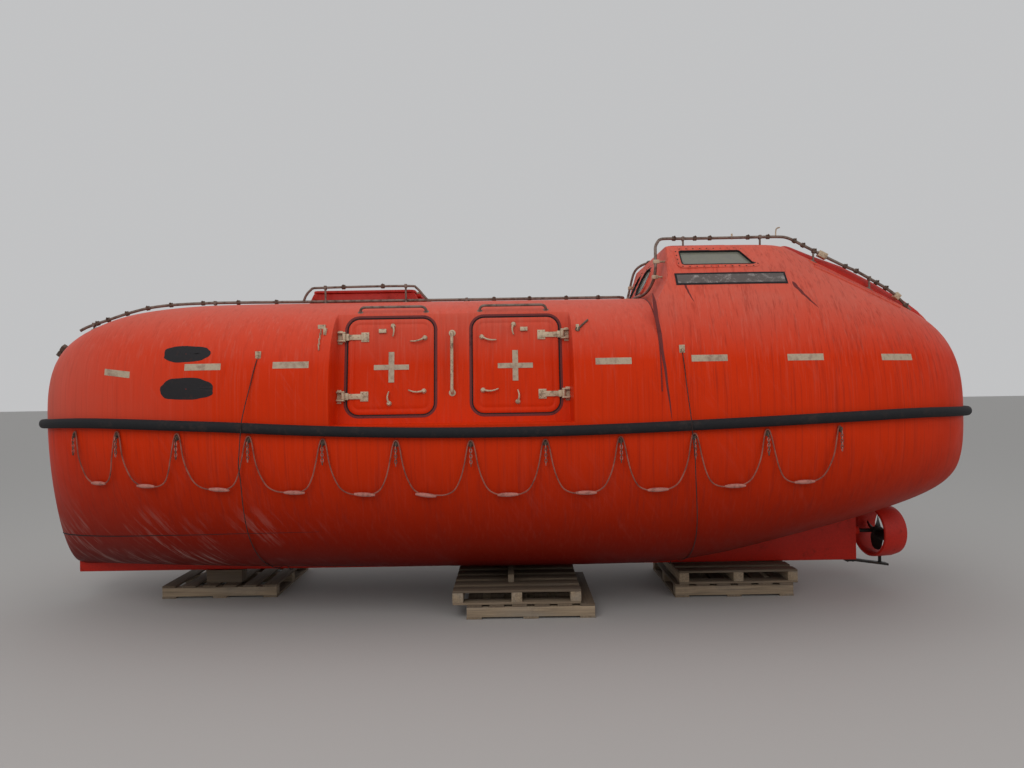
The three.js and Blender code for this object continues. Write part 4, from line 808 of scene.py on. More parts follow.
def wood_material(name, colours, rust):
    """Weathered boards: grain drawn out along each board by its own coordinates, and a tone each, partly
    random and partly painted shade that is darkest on the boards in the boat's shade.
    """
    tree, shader, vector = material(name, "wood", 0.85)
    grain_at = put(tree, "ShaderNodeAttribute", attribute_name="grain").outputs["Vector"]
    tint = put(tree, "ShaderNodeAttribute", attribute_name="tint").outputs["Fac"]
    grain = noise(tree, stretched(tree, grain_at, (2.5, 70.0, 70.0)), 1.0, 5.0, 0.6, 0.4)
    broad = noise(tree, stretched(tree, grain_at, (1.5, 9.0, 9.0)), 1.0, 3.0, 0.5)
    light = tuple(colours.wood)
    base = mixed(tree, limits(tree, grain, 0.35, 0.7), light, tuple(c * 0.5 for c in light))
    base = mixed(tree, limits(tree, broad, 0.45, 0.75, 0.0, 0.5), base, (0.3, 0.27, 0.23))
    # Darker as the board's mark falls: a random tone each, and painted shade on the boards that lie in the
    # boat's shade.
    base = mixed(tree, limits(tree, tint, 0.0, 1.0, 0.85, 0.0), base, (0.06, 0.04, 0.028))
    stains = placed(tree, rust, vector, Scale=5.0, Amount=0.12)
    base = mixed(tree, times(tree, stains["Mask"], 0.4), base, (0.12, 0.09, 0.07))
    feed(tree, shader, base, bump=(grain, 0.5, 0.0015))


def rope_material(name, colour, dark):
    """Laid rope: dirt in patches along it, and darker in the hollows between its strands."""
    tree, shader, vector = material(name, "rope", 0.9)
    hollow = put(tree, "ShaderNodeAttribute", attribute_name="hollow").outputs["Fac"]
    base = mixed(tree, limits(tree, noise(tree, vector, 9.0, 4.0, 0.7), 0.4, 0.68), tuple(colour), dark)
    base = mixed(tree, times(tree, hollow, 0.65), base, tuple(c * 0.35 for c in dark))
    feed(tree, shader, base, bump=(noise(tree, vector, 420.0, 2.0, 0.6), 0.4, 0.0008))


def glass_material(name, colours, rust):
    """A dusty pane, mottled, and clear enough to see that it is glass."""
    tree, shader, vector = material(name, "glass", 0.22)
    shader.inputs["Transmission Weight"].default_value = 0.25
    shader.inputs["IOR"].default_value = 1.49
    dust = limits(tree, placed(tree, rust, vector, Scale=16.0, Amount=0.3)["Mask"], 0.0, 1.0, 0.1, 0.75)
    feed(tree, shader, mixed(tree, dust, tuple(colours.glass), (0.2, 0.19, 0.17)))


# Paints and metals. Columns: name, slot, colour or its name in the panel, share and colour of the
# patches, roughness, metallic, scale of the patches, depth of the bump.
PAINTS = [
    ("deep red gelcoat", "gelcoat_dark", "deep_red", 0.06, (0.2, 0.012, 0.006), 0.5, 0.0, 9.0, 0.0012),
    # Dark red used as painted shade along the fold and round the doors, and for the stains below the plate.
    ("fold shade", "gelcoat_dark", (0.15, 0.018, 0.016), 0.1, (0.05, 0.01, 0.01), 0.6, 0.0, 9.0, 0.0012),
    ("rubber", "rubber", "rubber", 0.15, (0.04, 0.03, 0.028), 0.8, 0.0, 7.0, 0.002),
    ("fittings", "steel", "steel", 0.25, (0.13, 0.06, 0.035), 0.55, 0.25, 18.0, 0.0012),
    ("pipe", "pipe", "pipe", 0.35, (0.1, 0.06, 0.045), 0.55, 0.35, 24.0, 0.0012),
    ("spray fitting", "pipe", (0.14, 0.1, 0.075), 0.3, (0.05, 0.03, 0.025), 0.6, 0.3, 24.0, 0.0012),
    ("bronze", "bronze", "bronze", 0.2, (0.08, 0.05, 0.03), 0.5, 0.7, 14.0, 0.0012),
    ("reflective tape", "steel", "tape", 0.3, (0.27, 0.17, 0.13), 0.5, 0.0, 14.0, 0.0006),
    ("black paint", "rubber", (0.016, 0.014, 0.016), 0.1, (0.06, 0.03, 0.025), 0.7, 0.0, 10.0, 0.0004),
    ("grey plate", "steel", (0.36, 0.32, 0.3), 0.7, (0.05, 0.036, 0.034), 0.6, 0.1, 15.0, 0.0004),
    ("machine paint", "machine", "machine", 0.1, (0.13, 0.06, 0.035), 0.5, 0.2, 8.0, 0.0012),
    ("pale moulding", "machine", "moulding", 0.05, (0.3, 0.27, 0.22), 0.45, 0.0, 5.0, 0.0012),
    ("float", "rope", "float_pink", 0.3, (0.2, 0.08, 0.06), 0.75, 0.0, 22.0, 0.0012),
    ("cushion cover", "cushion", "cushion", 0.1, (0.08, 0.02, 0.015), 0.8, 0.0, 30.0, 0.0012),
]


def make_finishes():
    """Builds the shared groups, then every finish."""
    _, colours = settings()
    weather, rust = weather_group(), rust_group()
    gelcoat_material("hull gelcoat", weather, colours, False)
    gelcoat_material("canopy gelcoat", weather, colours, True)
    for name, slot, colour, *wear in PAINTS:
        shown = getattr(colours, colour) if isinstance(colour, str) else colour
        painted_material(name, slot, tuple(shown), rust, *wear)
    wood_material("weathered wood", colours, rust)
    rope_material("grab line", colours.rope, (0.2, 0.055, 0.04))
    rope_material("securing line", colours.line, (0.03, 0.02, 0.02))
    glass_material("window pane", colours, rust)


# Hull and canopies.
def drawn_stations(xs, inset):
    """Stations moved in at both ends, for the inner face of a wall."""
    bow, stern = BOW_ROUND - HALF_LENGTH, HALF_LENGTH - STERN_ROUND
    moved_in = np.where(xs < bow, bow + (xs - bow) * (BOW_ROUND - inset) / BOW_ROUND, xs)
    return np.where(xs > stern, stern + (xs - stern) * (STERN_ROUND - inset) / STERN_ROUND, moved_in)


def with_feet(grid, rise):
    """The sections carried straight up or down from both feet."""
    first, last = grid[:, :1].copy(), grid[:, -1:].copy()
    first[..., 2] += rise
    last[..., 2] += rise
    return np.concatenate([first, grid, last], axis=1)


def both_sides(shape):
    """A port shape together with its reflection."""
    return together([shape, mirrored(shape, -1)])


def well_block(x, table, grow):
    """The open space of a lifting hook's well, or the block that keeps a wall round it."""
    floor = float(read(table, x)) - WELL["deep"] - grow
    reach, half = WELL["long"] / 2 + grow, WELL["half"] + grow
    return block((x - reach, -half, floor), (x + reach, half, 4))


def hatch_block(inset, low, high):
    """The fore hatch's sloping-ended block, over the crest between two heights."""
    a, b, half, foot = HATCH["x0"] + inset, HATCH["x1"] - inset, HATCH["half"] - inset, HATCH["slope"]
    points, faces = block((a, -half, low), (b, half, high))
    outwards = np.where(points[:, 0] > (a + b) / 2, foot, -foot)
    points[:, 0] += np.where(points[:, 2] > (low + high) / 2, 0, outwards)
    return points, faces


HATCH_Z = float(read(CREST, -1.3))
PANEL = plane_frame((0, -RECESS["foot"], RECESS["z0"]), (1, 0, 0), (0, math.sin(LEAN), math.cos(LEAN)))


def door_outline(s, sign, margin):
    """Rounded outline of a door in the panel's frame, grown by a margin."""
    x0 = s if sign > 0 else s - DOOR["width"]
    return rounded_outline(
        x0 - margin,
        x0 + DOOR["width"] + margin,
        DOOR_FOOT - margin,
        DOOR_FOOT + DOOR["height"] + margin,
        DOOR["radius"] + margin,
    )


def make_hull():
    """Hull shell: outer sections less the space inside, which is level at the cabin sole."""
    skin = sections(BOTTOM, stations(-5, 5, 44, 0.12), steps=44, down=True)
    inner = sections(BOTTOM, drawn_stations(stations(-5, 5, 18, 0.4), WALL), WALL, 14, down=True)
    inner[..., 2] = np.maximum(inner[..., 2], SOLE_Z)
    hull = carve(object_from("hull_shell", closed_body(skin)), [closed_body(with_feet(inner, 0.04))])
    finished(hull, "hull gelcoat", replaces=("hull",), sharp=30)
    # A dark line along the knuckle at the bow: painted shade in the crease.
    xs = np.linspace(-4.17, -1.5, 60)
    z = np.interp(xs, [-4.17, -3.6, -2.9, -2.2, -1.5], [0.665, 0.71, 0.765, 0.8, 0.815])
    knuckle = tube(port_skin(BOTTOM, xs, z, 0.001), np.linspace(0.0065, 0.0015, 60), 8)
    piece_of("knuckle_line", both_sides(knuckle), "rubber")
    trunk = rod((STOCK_X, 0, 0.8), (STOCK_X, 0, 0.94), 0.046, 24)
    flange = rod((STOCK_X, 0, 0.8), (STOCK_X, 0, 0.812), 0.062, 24)
    piece_of("rudder_trunk", [trunk, flange], "deep red gelcoat")


def make_fore_canopy():
    """Fore canopy: sections drawn in to the leaning door panels, less the space and openings."""
    x0, x1 = RECESS["x0"], RECESS["x1"]
    edges = np.linspace(-0.006, 0.016, 7)
    xs = stations(-5, FOLD_X - GAP / 2, 44, 0.1, np.r_[x0 + edges, x1 - edges])
    sill = RECESS["z0"] + np.linspace(-0.004, 0.01, 6)
    skin = door_recess(sections(CREST, xs, steps=44, levels=sill))
    canopy = object_from("fore_canopy_shell", closed_body(skin))
    inside = np.linspace(-0.005, 0.015, 3)
    ends = np.r_[x0 - PANEL_WALL + inside, x1 + PANEL_WALL - inside]
    inner = drawn_stations(stations(-5, FOLD_X + 0.06, 18, 0.35, ends), WALL)
    space = door_recess(sections(CREST, inner, WALL, 18), PANEL_WALL)
    _, well_x, table = WELLS[0]
    hollow = object_from("space", closed_body(with_feet(space, -0.04)))
    carve(hollow, [well_block(well_x, table, WALL)])
    hatchway = hatch_block(HATCH["wall"] + HATCH["slope"], HATCH_Z - 0.2, HATCH_Z + 0.14)
    cutters = [hollow, well_block(well_x, table, 0), hatchway]
    seat_levels = [(0, -DOOR_SEAT), (0, -0.004), (-0.004, 0.001), (-0.004, 0.06)]
    for _, s, sign in DOORS:
        seat = slab(door_outline(s, sign, DOOR["clear"]), seat_levels)
        through = slab(door_outline(s, sign, -DOOR["lip"]), [(0, -0.2), (0, 0.0)])
        cutters += [both_sides(moved(seat, PANEL)), both_sides(moved(through, PANEL))]
    carve(canopy, cutters)
    finished(canopy, "canopy gelcoat", replaces=("canopy_fore",), sharp=32)


def foothold(grow):
    """The long foothold in the port shoulder of the aft slope: a wedge between two profiles."""
    corners = []
    for (x, y, z), end in (((2.7, 0.7, 2.985), -1), ((3.45, 0.65, 2.6), 1)):
        low, high = z - grow, z + 0.21
        deep = -y + 0.06 + grow
        corners += [(x + end * grow, -y - 0.3, low), (x + end * grow, -y - 0.3, high)]
        corners += [(x + end * grow, deep + 0.06, high), (x + end * grow, deep, low)]
    faces = [[0, 1, 2, 3], [7, 6, 5, 4]] + [[i, 4 + i, 4 + (i + 1) % 4, (i + 1) % 4] for i in range(4)]
    return np.array(corners), faces


def aft_ridge(share):
    """Raised middle of the aft slope between the footholds, over a share of its half breadth.

    The skin plus (the table's height - skin) * (1 - share^16), faded in and out along x.
    """
    xs = np.linspace(2.42, 4.04, 70)[:, None]
    y = share * np.interp(xs, [2.4, 3.07, 3.3, 3.55, 4.1], [0.527, 0.522, 0.505, 0.46, 0.42])
    skin = np.minimum(skin_z(DOME, xs, y), ROOF_Z)
    top = np.interp(xs, *zip(*RIDGE)) + 0.02 * (1 - share**2)
    rise = np.maximum(0, top - skin) * ease(2.42, 2.6, xs) * (1 - ease(3.78, 4.04, xs))
    return stacked(xs, y, skin - 0.004 + rise * (1 - np.abs(share) ** 16))


def make_aft_canopy():
    """Aft canopy: the dome cut by the flat roof and the sloping front, with soft edges."""
    xs = stations(FOLD_X + GAP / 2, 5, 44, 0.07, np.linspace(FOLD_X, 1.62, 40))
    front = front_height(xs, 0.7)
    levels = np.stack([np.full(len(xs), ROOF_Z + 0.004), front, front + 0.02], axis=1)
    skin = steering_roof(sections(DOME, xs, steps=52, levels=levels))
    canopy = object_from("aft_canopy_shell", closed_body(skin))
    near_front = np.linspace(FOLD_X + WALL, 1.66, 12)
    inner = drawn_stations(stations(FOLD_X + WALL, 5, 18, 0.2, near_front), WALL)
    space = steering_roof(sections(DOME, inner, WALL, 20), WALL)
    _, well_x, table = WELLS[1]
    walls = [both_sides(foothold(WALL)), well_block(well_x, table, WALL)]
    hollow = carve(object_from("space", closed_body(with_feet(space, -0.04))), walls)
    well = well_block(well_x, table, 0)
    passage = closed_body(sections(CREST, np.linspace(FOLD_X - 0.2, FOLD_X + 0.2, 3), WALL, 18))
    hole = rounded_outline(ROOF_HATCH["x0"] + 0.035, ROOF_HATCH["x1"] - 0.035, -0.265, 0.265, 0.05)
    roof_hole = slab(hole, [(0, ROOF_Z - 0.2), (0, ROOF_Z + 0.2)])
    cutters = [both_sides(foothold(0)), well, hollow, passage, roof_hole]
    for _, placing, outline in WINDOWS:
        opening = slab(eased_corners(np.array(outline), 0.02), [(0, -0.15), (0, 0.15)])
        cutters.append(both_sides(moved(opening, placing)))
    carve(canopy, cutters)
    finished(canopy, "canopy gelcoat", replaces=("canopy_aft",), sharp=32)
    # A dark line down the fold between the canopies: painted shade in the crease.
    seam = sections(CREST, np.array([FOLD_X - 0.003]), steps=30)[0][2:-2]
    piece_of("fold_seam", tube(seam + np.array([0, 0, 0.001]), 0.0045, 8), "fold shade")
    top = closed_body(with_feet(aft_ridge(np.linspace(-1, 1, 61)), -0.05))
    finished(carve(object_from("aft_ridge", top), [well]), "canopy gelcoat", sharp=40)
    # Deep red on the ridge's side wall and in the foothold's channel: painted shade in the recess.
    wall = aft_ridge(np.linspace(-1, -0.88, 9))[6:-10]
    channel = skin_patch(DOME, 2.73, 3.46, 2.956, 3.0, 0.002, -0.34)
    piece_of("ridge_sides", both_sides(together([sheet_on_skin(wall, 0.0025), channel])), "deep red gelcoat")
    x = np.linspace(2.7, 3.47, 40)
    lip = port_skin(DOME, x, 2.958 - 0.36 * (x - 2.7) / 0.77, 0.004)
    piece_of("foothold_lips", both_sides(tube(lip, 0.015, 10)), "canopy gelcoat")


def eased_corners(outline, radius, steps=5):
    """An outline with each corner replaced by a parabola: (1-t)^2 start + 2t(1-t) corner + t^2 end."""
    start = outline + unit(np.roll(outline, 1, axis=0) - outline) * radius
    end = outline + unit(np.roll(outline, -1, axis=0) - outline) * radius
    t = np.linspace(0, 1, steps)[None, :, None]
    arcs = (1 - t) ** 2 * start[:, None] + 2 * t * (1 - t) * outline[:, None] + t**2 * end[:, None]
    return arcs.reshape(-1, 2)


def band(outer, inner, low, high):
    """A closed ring between two outlines of the same number of points, from low to high."""
    rings = ((outer, low), (outer, high), (inner, high), (inner, low))
    return looped(np.stack([stacked(*line.T, height) for line, height in rings]))


def make_fender():
    """Rubber fender: a D profile carried round the plan of the gunwale, which it follows up and down."""
    side = stations(-5, 5, 60, 0.1)
    starboard = np.c_[side, half_breadth(side)][1:-1][::-1]
    plan = np.concatenate([np.c_[side, -half_breadth(side)], starboard])
    ahead, behind = np.roll(plan, -1, axis=0) - plan, plan - np.roll(plan, 1, axis=0)
    out = outward(unit(ahead) + unit(behind))
    turn = np.linspace(-math.pi / 2, math.pi / 2, 13)
    reach = np.r_[0.0003, 0.034 + 0.032 * np.cos(turn), 0.0003]
    rise = np.r_[-0.04, 0.04 * np.sin(turn), 0.04]
    grid = stacked(
        plan[:, :1] + out[:, :1] * reach, plan[:, 1:] + out[:, 1:] * reach, gunwale(plan[:, :1]) + rise
    )
    piece_of("fender_strip", looped(grid), "rubber", replaces=("fender",), sharp=60)


# Keel, nozzle and propeller.
def make_keel():
    """Keel and skeg in one plate with eased lower edges and the shaft's boss, and the heel bar."""
    xs = stations(-4.13, 3.37, 44, 0.2)
    across = np.array([-0.05, -0.05, -0.047, -0.04, 0.04, 0.047, 0.05, 0.05])
    foot = np.array([0.0, 0.012, 0.004, 0.0, 0.0, 0.004, 0.012, 0.0])
    grid = stacked(xs[:, None], across, KEEL_Z + foot)
    grid[:, 0, 2] = grid[:, 7, 2] = read(BOTTOM, xs) + 0.03
    profile = [(0.034, 0), (0.044, 0.03), (0.044, 0.222), (0.038, 0.23)]
    boss = lathe(profile, (3.18, 0, SHAFT_Z), (1, 0, 0), 28)
    piece_of("keel_plate", [closed_body(grid), boss], "deep red gelcoat", replaces=("keel_skeg",), sharp=40)
    low, high = KEEL_Z - GAP - 0.02, KEEL_Z - GAP
    heel = [(3.28, low), (3.37, low), (3.69, low - 0.0457), (3.69, high - 0.0457), (3.37, high), (3.28, high)]
    pin = [
        rod((STOCK_X, 0, 0.184), (STOCK_X, 0, 0.2677), 0.015, 16),
        rod((STOCK_X, 0, 0.194), (STOCK_X, 0, 0.209), 0.024, 6),
    ]
    places = [(x, y) for x in (3.3, 3.35) for y in (-0.02, 0.02)]
    bolts = [rod((x, y, low - 0.006), (x, y, low + 0.01), 0.009, 6) for x, y in places]
    shapes = [upright(heel, 0.036), *pin, *bolts]
    piece_of("heel_plate", shapes, "bronze", replaces=("heel_bar",), bevel=0.002)


def blade_shape(turn, thick):
    """A twisted blade: an ellipse of chord and thickness at each radius, wrapped round the axis."""
    share, around = np.linspace(0, 1, 15)[:, None], circle(20)
    hub, radius = 0.034 * 0.6, 0.193
    r = hub + (radius - hub) * share
    twist = np.arctan2(radius * 0.62, r * 1.6)
    chord = 0.062 * np.sqrt(np.maximum(0.12, 1 - (share * 1.5 - 0.75) ** 2))
    chord = chord * np.where(share > 0.93, 1 - (share - 0.93) * 6, 1)
    u, v = chord * np.cos(around), thick * (1.15 - share * 0.8) / 2 * np.sin(around)
    bend = (u * np.cos(twist) - v * np.sin(twist)) / r
    grid = stacked(u * np.sin(twist) + v * np.cos(twist), r * np.sin(bend), r * np.cos(bend))
    return moved(capped(grid), Matrix.Rotation(turn, 4, "X"))


def make_propulsion():
    """Steering nozzle with its stock, and the propeller with hub, shaft and four blades."""
    sizes, _ = settings()
    swung = Matrix.Translation((STOCK_X, 0, SHAFT_Z)) @ Matrix.Rotation(math.radians(12), 4, "Z")
    inner, outer, half = 0.212, 0.245, 0.125
    profile = [(inner + 0.012, -half), (outer - 0.012, -half), (outer - 0.003, 0.008 - half)]
    profile += [(outer, 0.04 - half), (outer, half - 0.07), (outer - 0.014, half - 0.003)]
    profile += [(outer - 0.018, half), (inner + 0.006, half), (inner + 0.003, half - 0.01)]
    profile += [(inner, 0), (inner + 0.001, 0.05 - half), (inner + 0.004, 0.012 - half)]
    hoop = lathe(profile, axis=(1, 0, 0), steps=64, hollow=True)
    stock = rod((0, 0, outer - 0.012), (0, 0, 0.2867), 0.024, 20)
    pad = block((-0.05, -0.034, outer - 0.012), (0.05, 0.034, outer + 0.008))
    shape = moved(together([hoop, stock, pad]), swung)
    how = {"body": "nozzle", "replaces": ("steering_nozzle",), "sharp": 40}
    piece_of("nozzle_ring", shape, "deep red gelcoat", **how)
    blades = [blade_shape((i + 0.08) * math.pi / 2, sizes.blade_thick) for i in range(4)]
    profile = [(0.026, -0.048), (0.034, -0.04), (0.034, 0.036), (0.03, 0.044)]
    profile += [(0.017, 0.05), (0.017, 0.062), (0.01, 0.066)]
    hub = lathe(profile, axis=(1, 0, 0), steps=28)
    shaft = rod((-0.1897, 0, 0), (-0.04, 0, 0), 0.019, 20)
    shape = moved(together([*blades, hub, shaft]), Matrix.Translation((3.6, 0, SHAFT_Z)))
    piece_of("propeller_screw", shape, "bronze", body="screw", replaces=("propeller",), sharp=40)


# Doors.
LEVERS = [
    (0.366, 0.731, 0.366, 0.64), (0.627, 0.629, 0.508, 0.6), (0.62, 0.188, 0.495, 0.196),
    (0.34, 0.09, 0.34, 0.185),
]
HINGE_HEIGHTS = (0.15, 0.64)


def bolt(x, y, z, radius, high=0.5):
    """A low domed bolt head, standing up from z."""
    rise = radius * high
    profile = [(radius, -0.002), (radius, rise * 0.5), (radius * 0.7, rise), (radius * 0.2, rise * 1.15)]
    return lathe(profile, (x, y, z), (0, 0, 1), 10)


def spans(sign, *pairs):
    """Each pair of distances from the hinge edge as a pair of rising places along the panel."""
    return [(a, b) if sign > 0 else (-b, -a) for a, b in pairs]


def door_metal(sign):
    """Straps, hinge barrels, bolts, and the levers that dog the door, in the door's own frame."""
    shapes = []
    levels = ((0.0, 0.011, 0.006), (0.0, 0.009, -0.012), (0.008, 0.018, 0.0))
    for height in HINGE_HEIGHTS:
        low, high = height - 0.028, height + 0.028
        along = spans(sign, (0.002, 0.13), (0.108, 0.172), (-0.036, 0.012))
        for (a, b), (z0, z1, trim) in zip(along, levels):
            shapes.append(block((a, low + trim, z0), (b, high - trim, z1)))
        shapes.append(rod((-sign * 0.03, low, 0.027), (-sign * 0.03, high, 0.027), 0.015, 16))
        for u in (0.122, 0.158):
            shapes += [bolt(sign * u, height + v, 0.009, 0.007) for v in (-0.026, 0.026)]
        shapes += [bolt(sign * u, height, 0.011, 0.007) for u in (0.04, 0.085)]
    knob = [(0.021, -0.002), (0.021, 0.004), (0.017, 0.008), (0.017, 0.022), (0.012, 0.026)]
    share = np.linspace(0, 1, 9)[:, None]
    for u, v, tip_u, tip_v in LEVERS:
        shapes.append(lathe(knob, (sign * u, v, 0), steps=16))
        arm = np.array([sign * u, v, 0.018]) + share * np.array([sign * (tip_u - u), tip_v - v, 0])
        arm += np.sin(share * math.pi) * np.array([-sign * (tip_v - v), tip_u - u, 0.1]) * 0.12
        shapes.append(tube(arm, 0.0085 - 0.003 * share[:, 0], 10))
    shapes.append(block((sign * 0.282 - 0.03, 0.672, 0.0), (sign * 0.282 + 0.03, 0.705, 0.02)))
    return together(shapes)


def hinge_metal(sign):
    """Fixed leaf of a door's hinges: an upright plate with two lugs at each barrel."""
    (a, b), (c, d) = spans(sign, (-0.092, -0.046), (-0.08, -0.017))
    middle = (a + b) / 2 - sign * 0.008
    shapes = []
    for height in HINGE_HEIGHTS:
        shapes.append(block((a, height - 0.056, GAP), (b, height + 0.056, 0.007)))
        shapes += [bolt(middle, height + v, 0.007, 0.007) for v in (-0.044, 0.044)]
        for near in (height - 0.0403, height + 0.0283):
            shapes.append(block((c, near, GAP), (d, near + 0.012, 0.04)))
    return together(shapes)


def make_doors():
    """Four doors: crowned slab, metal and cross, with the fixed leaves, the seal, and a rim of painted shade
    round each.
    """
    sizes, _ = settings()
    thick, clear, wide = DOOR["thick"], DOOR["clear"] - 0.0003, sizes.cross / 2
    levels = [(0.006, -thick), (0, 0.006 - thick), (0, -0.01), (0.002, -0.004), (0.008, 0)]
    levels += [(0.036, 0.0), (0.042, -0.0035), (0.05, -0.0035), (0.057, 0.0005), (0.08, 0.002)]
    for name, s, sign in DOORS:
        hung = PANEL @ Matrix.Translation((s, DOOR_FOOT, 0))
        tag, body = "_{}_" + name, "{}_" + name + "_door"
        x0 = 0 if sign > 0 else -DOOR["width"]
        outline = rounded_outline(x0, x0 + DOOR["width"], 0, DOOR["height"], DOOR["radius"])
        leaf = moved(slab(outline, levels), hung)
        pair("door_leaf" + tag, leaf, "canopy gelcoat", body=body, replaces=("door" + tag,))
        pair("door_metal" + tag, moved(door_metal(sign), hung), "fittings", body=body, bevel=0.0015)
        middle = sign * 0.356
        cross = [
            block((middle - wide, 0.366, 0.001), (middle + wide, 0.408, 0.0052)),
            block((middle - 0.023, 0.262, 0.0012), (middle + 0.023, 0.514, 0.0056)),
        ]
        pair("door_cross" + tag, moved(together(cross), hung), "reflective tape", body=body)
        fixed = moved(hinge_metal(sign), hung)
        pair("hinge_leaf" + tag, fixed, "fittings", replaces=("hinge_plate" + tag,), bevel=0.0015)
        inner = drawn_in(outline, sizes.gasket - clear)
        # The rubber seal reaches out over the seat's flare, where it is painted shade in the gap round the
        # door.
        seal = band(drawn_in(outline, -clear - 0.0034), inner, -0.04, -0.0012)
        pair("door_seal" + tag, moved(seal, hung), "rubber")
        # A dark band round the door's seat: painted shade in the gap.
        rim = band(drawn_in(outline, -clear - 0.019), drawn_in(outline, -clear - 0.001), -0.01, 0.0016)
        pair("door_rim" + tag, moved(rim, hung), "fold shade")


# Windows and hatches.
def along_outline(outline, spacing):
    """Places about one spacing apart round a closed outline."""
    closed = np.concatenate([outline, outline[:1]])
    at = run_of(closed)
    even = np.linspace(0, at[-1], max(4, int(round(at[-1] / spacing))), endpoint=False)
    return np.stack([np.interp(even, at, closed[:, k]) for k in range(2)], axis=1)


def make_windows():
    """Each pane in its opening, with a dark frame, a flange and rivets round it."""
    sizes, _ = settings()
    for name, placing, outline in WINDOWS:
        edge = eased_corners(np.array(outline), 0.02)
        tag = name + "_{}"
        pane = slab(drawn_in(edge, GAP), [(0, -0.022), (0, -0.014)])
        pair(tag + "_pane", moved(pane, placing), "window pane", replaces=(tag,))
        gasket = band(drawn_in(edge, -0.007), drawn_in(edge, 0.003), -0.03, 0.004)
        pair(tag + "_frame", moved(gasket, placing), "rubber", bevel=0.0012)
        flange = band(drawn_in(edge, -0.046), drawn_in(edge, -0.006), -0.03, 0.0022)
        pair(tag + "_flange", moved(flange, placing), "canopy gelcoat", bevel=0.001)
        rivets = [bolt(u, v, 0.002, sizes.rivet) for u, v in along_outline(drawn_in(edge, -0.032), 0.058)]
        pair(tag + "_rivets", moved(together(rivets), placing), "bronze")


def lid_hinges(x, top, places):
    """Leaves and knuckles at the aft edge of a lid."""
    shapes = []
    for at in places:
        shapes.append(block((x - 0.038, at - 0.028, top + 0.002), (x, at + 0.028, top + 0.016)))
        shapes.append(rod((x, at - 0.028, top + 0.012), (x, at + 0.028, top + 0.012), 0.011, 14))
    return shapes


def crowned_lid(outline, low, thick, crown):
    """A lid with eased edges, a lip line and a slight crown."""
    high = low + thick
    levels = [(0.004, low), (0, low + 0.004), (0, high - 0.007), (0.003, high - 0.002)]
    return slab(outline, levels + [(0.01, high - crown), (0.04, high - crown), (0.055, high)])


def make_hatches():
    """Fore hatch coaming with sloping ends, roof hatch coaming, and both lids on their hinges."""
    hatch_top, lid = HATCH_Z + HATCH["rise"], 0.026
    coaming = object_from("fore_hatch_coaming", hatch_block(0, HATCH_Z - 0.03, hatch_top))
    carve(coaming, [hatch_block(0.075, HATCH_Z - 0.1, hatch_top + 0.1)])
    finished(coaming, "deep red gelcoat", bevel=0.012)
    outline = rounded_outline(HATCH["x0"] - 0.008, HATCH["x1"] + 0.008, -0.408, 0.408, 0.06)
    axis, grip = HATCH["x1"] + 0.032, hatch_top + lid - 0.004
    shape = crowned_lid(outline, hatch_top + GAP, lid, 0.004)
    piece_of("fore_lid", shape, "deep red gelcoat", body="fore_hatch", replaces=("fore_hatch_lid",))
    handle = rod((-1.6, -0.06, grip), (-1.6, 0.06, grip), 0.006, 10)
    metal = lid_hinges(axis, hatch_top, (-0.25, 0.25)) + [handle]
    piece_of("fore_lid_hinges", metal, "fittings", body="fore_hatch", bevel=0.0012)
    ledge = block((axis - 0.06, -0.3, hatch_top - 0.03), (axis + 0.02, 0.3, hatch_top - 0.004))
    piece_of("fore_hatch_ledge", ledge, "deep red gelcoat", bevel=0.004)
    x0, x1, half, radius = (ROOF_HATCH[key] for key in ("x0", "x1", "half", "radius"))
    roof_top = ROOF_Z + ROOF_HATCH["coaming"]
    outer = rounded_outline(x0 - 0.03, x1 + 0.03, -half - 0.03, half + 0.03, 0.08)
    inner = rounded_outline(x0 + 0.035, x1 - 0.035, -half + 0.035, half - 0.035, 0.05)
    piece_of("roof_hatch_coaming", band(outer, inner, ROOF_Z - 0.02, roof_top), "canopy gelcoat", bevel=0.006)
    outline = rounded_outline(x0, x1, -half, half, radius)
    shape = crowned_lid(outline, roof_top + GAP, ROOF_HATCH["lid"], 0.005)
    piece_of("roof_lid", shape, "deep red gelcoat", body="roof_hatch", replaces=("roof_hatch_lid",))
    metal = lid_hinges(x1 + 0.024, roof_top, (-0.15, 0.15))
    piece_of("roof_lid_hinges", metal, "fittings", body="roof_hatch", bevel=0.0012)


# Rails and pipes.
def bent(corners, radius, steps=7):
    """Straight runs joined by parabolas at the corners."""
    p = np.asarray(corners, float)
    parts = [p[:1]]
    for a, b, c in zip(p, p[1:], p[2:]):
        reach = min(radius, np.linalg.norm(b - a) * 0.45, np.linalg.norm(c - b) * 0.45)
        start, end = b + unit(a - b) * reach, b + unit(c - b) * reach
        t = np.linspace(0, 1, steps)[:, None]
        parts.append((1 - t) ** 2 * start + 2 * t * (1 - t) * b + t**2 * end)
    return np.concatenate([*parts, p[-1:]])


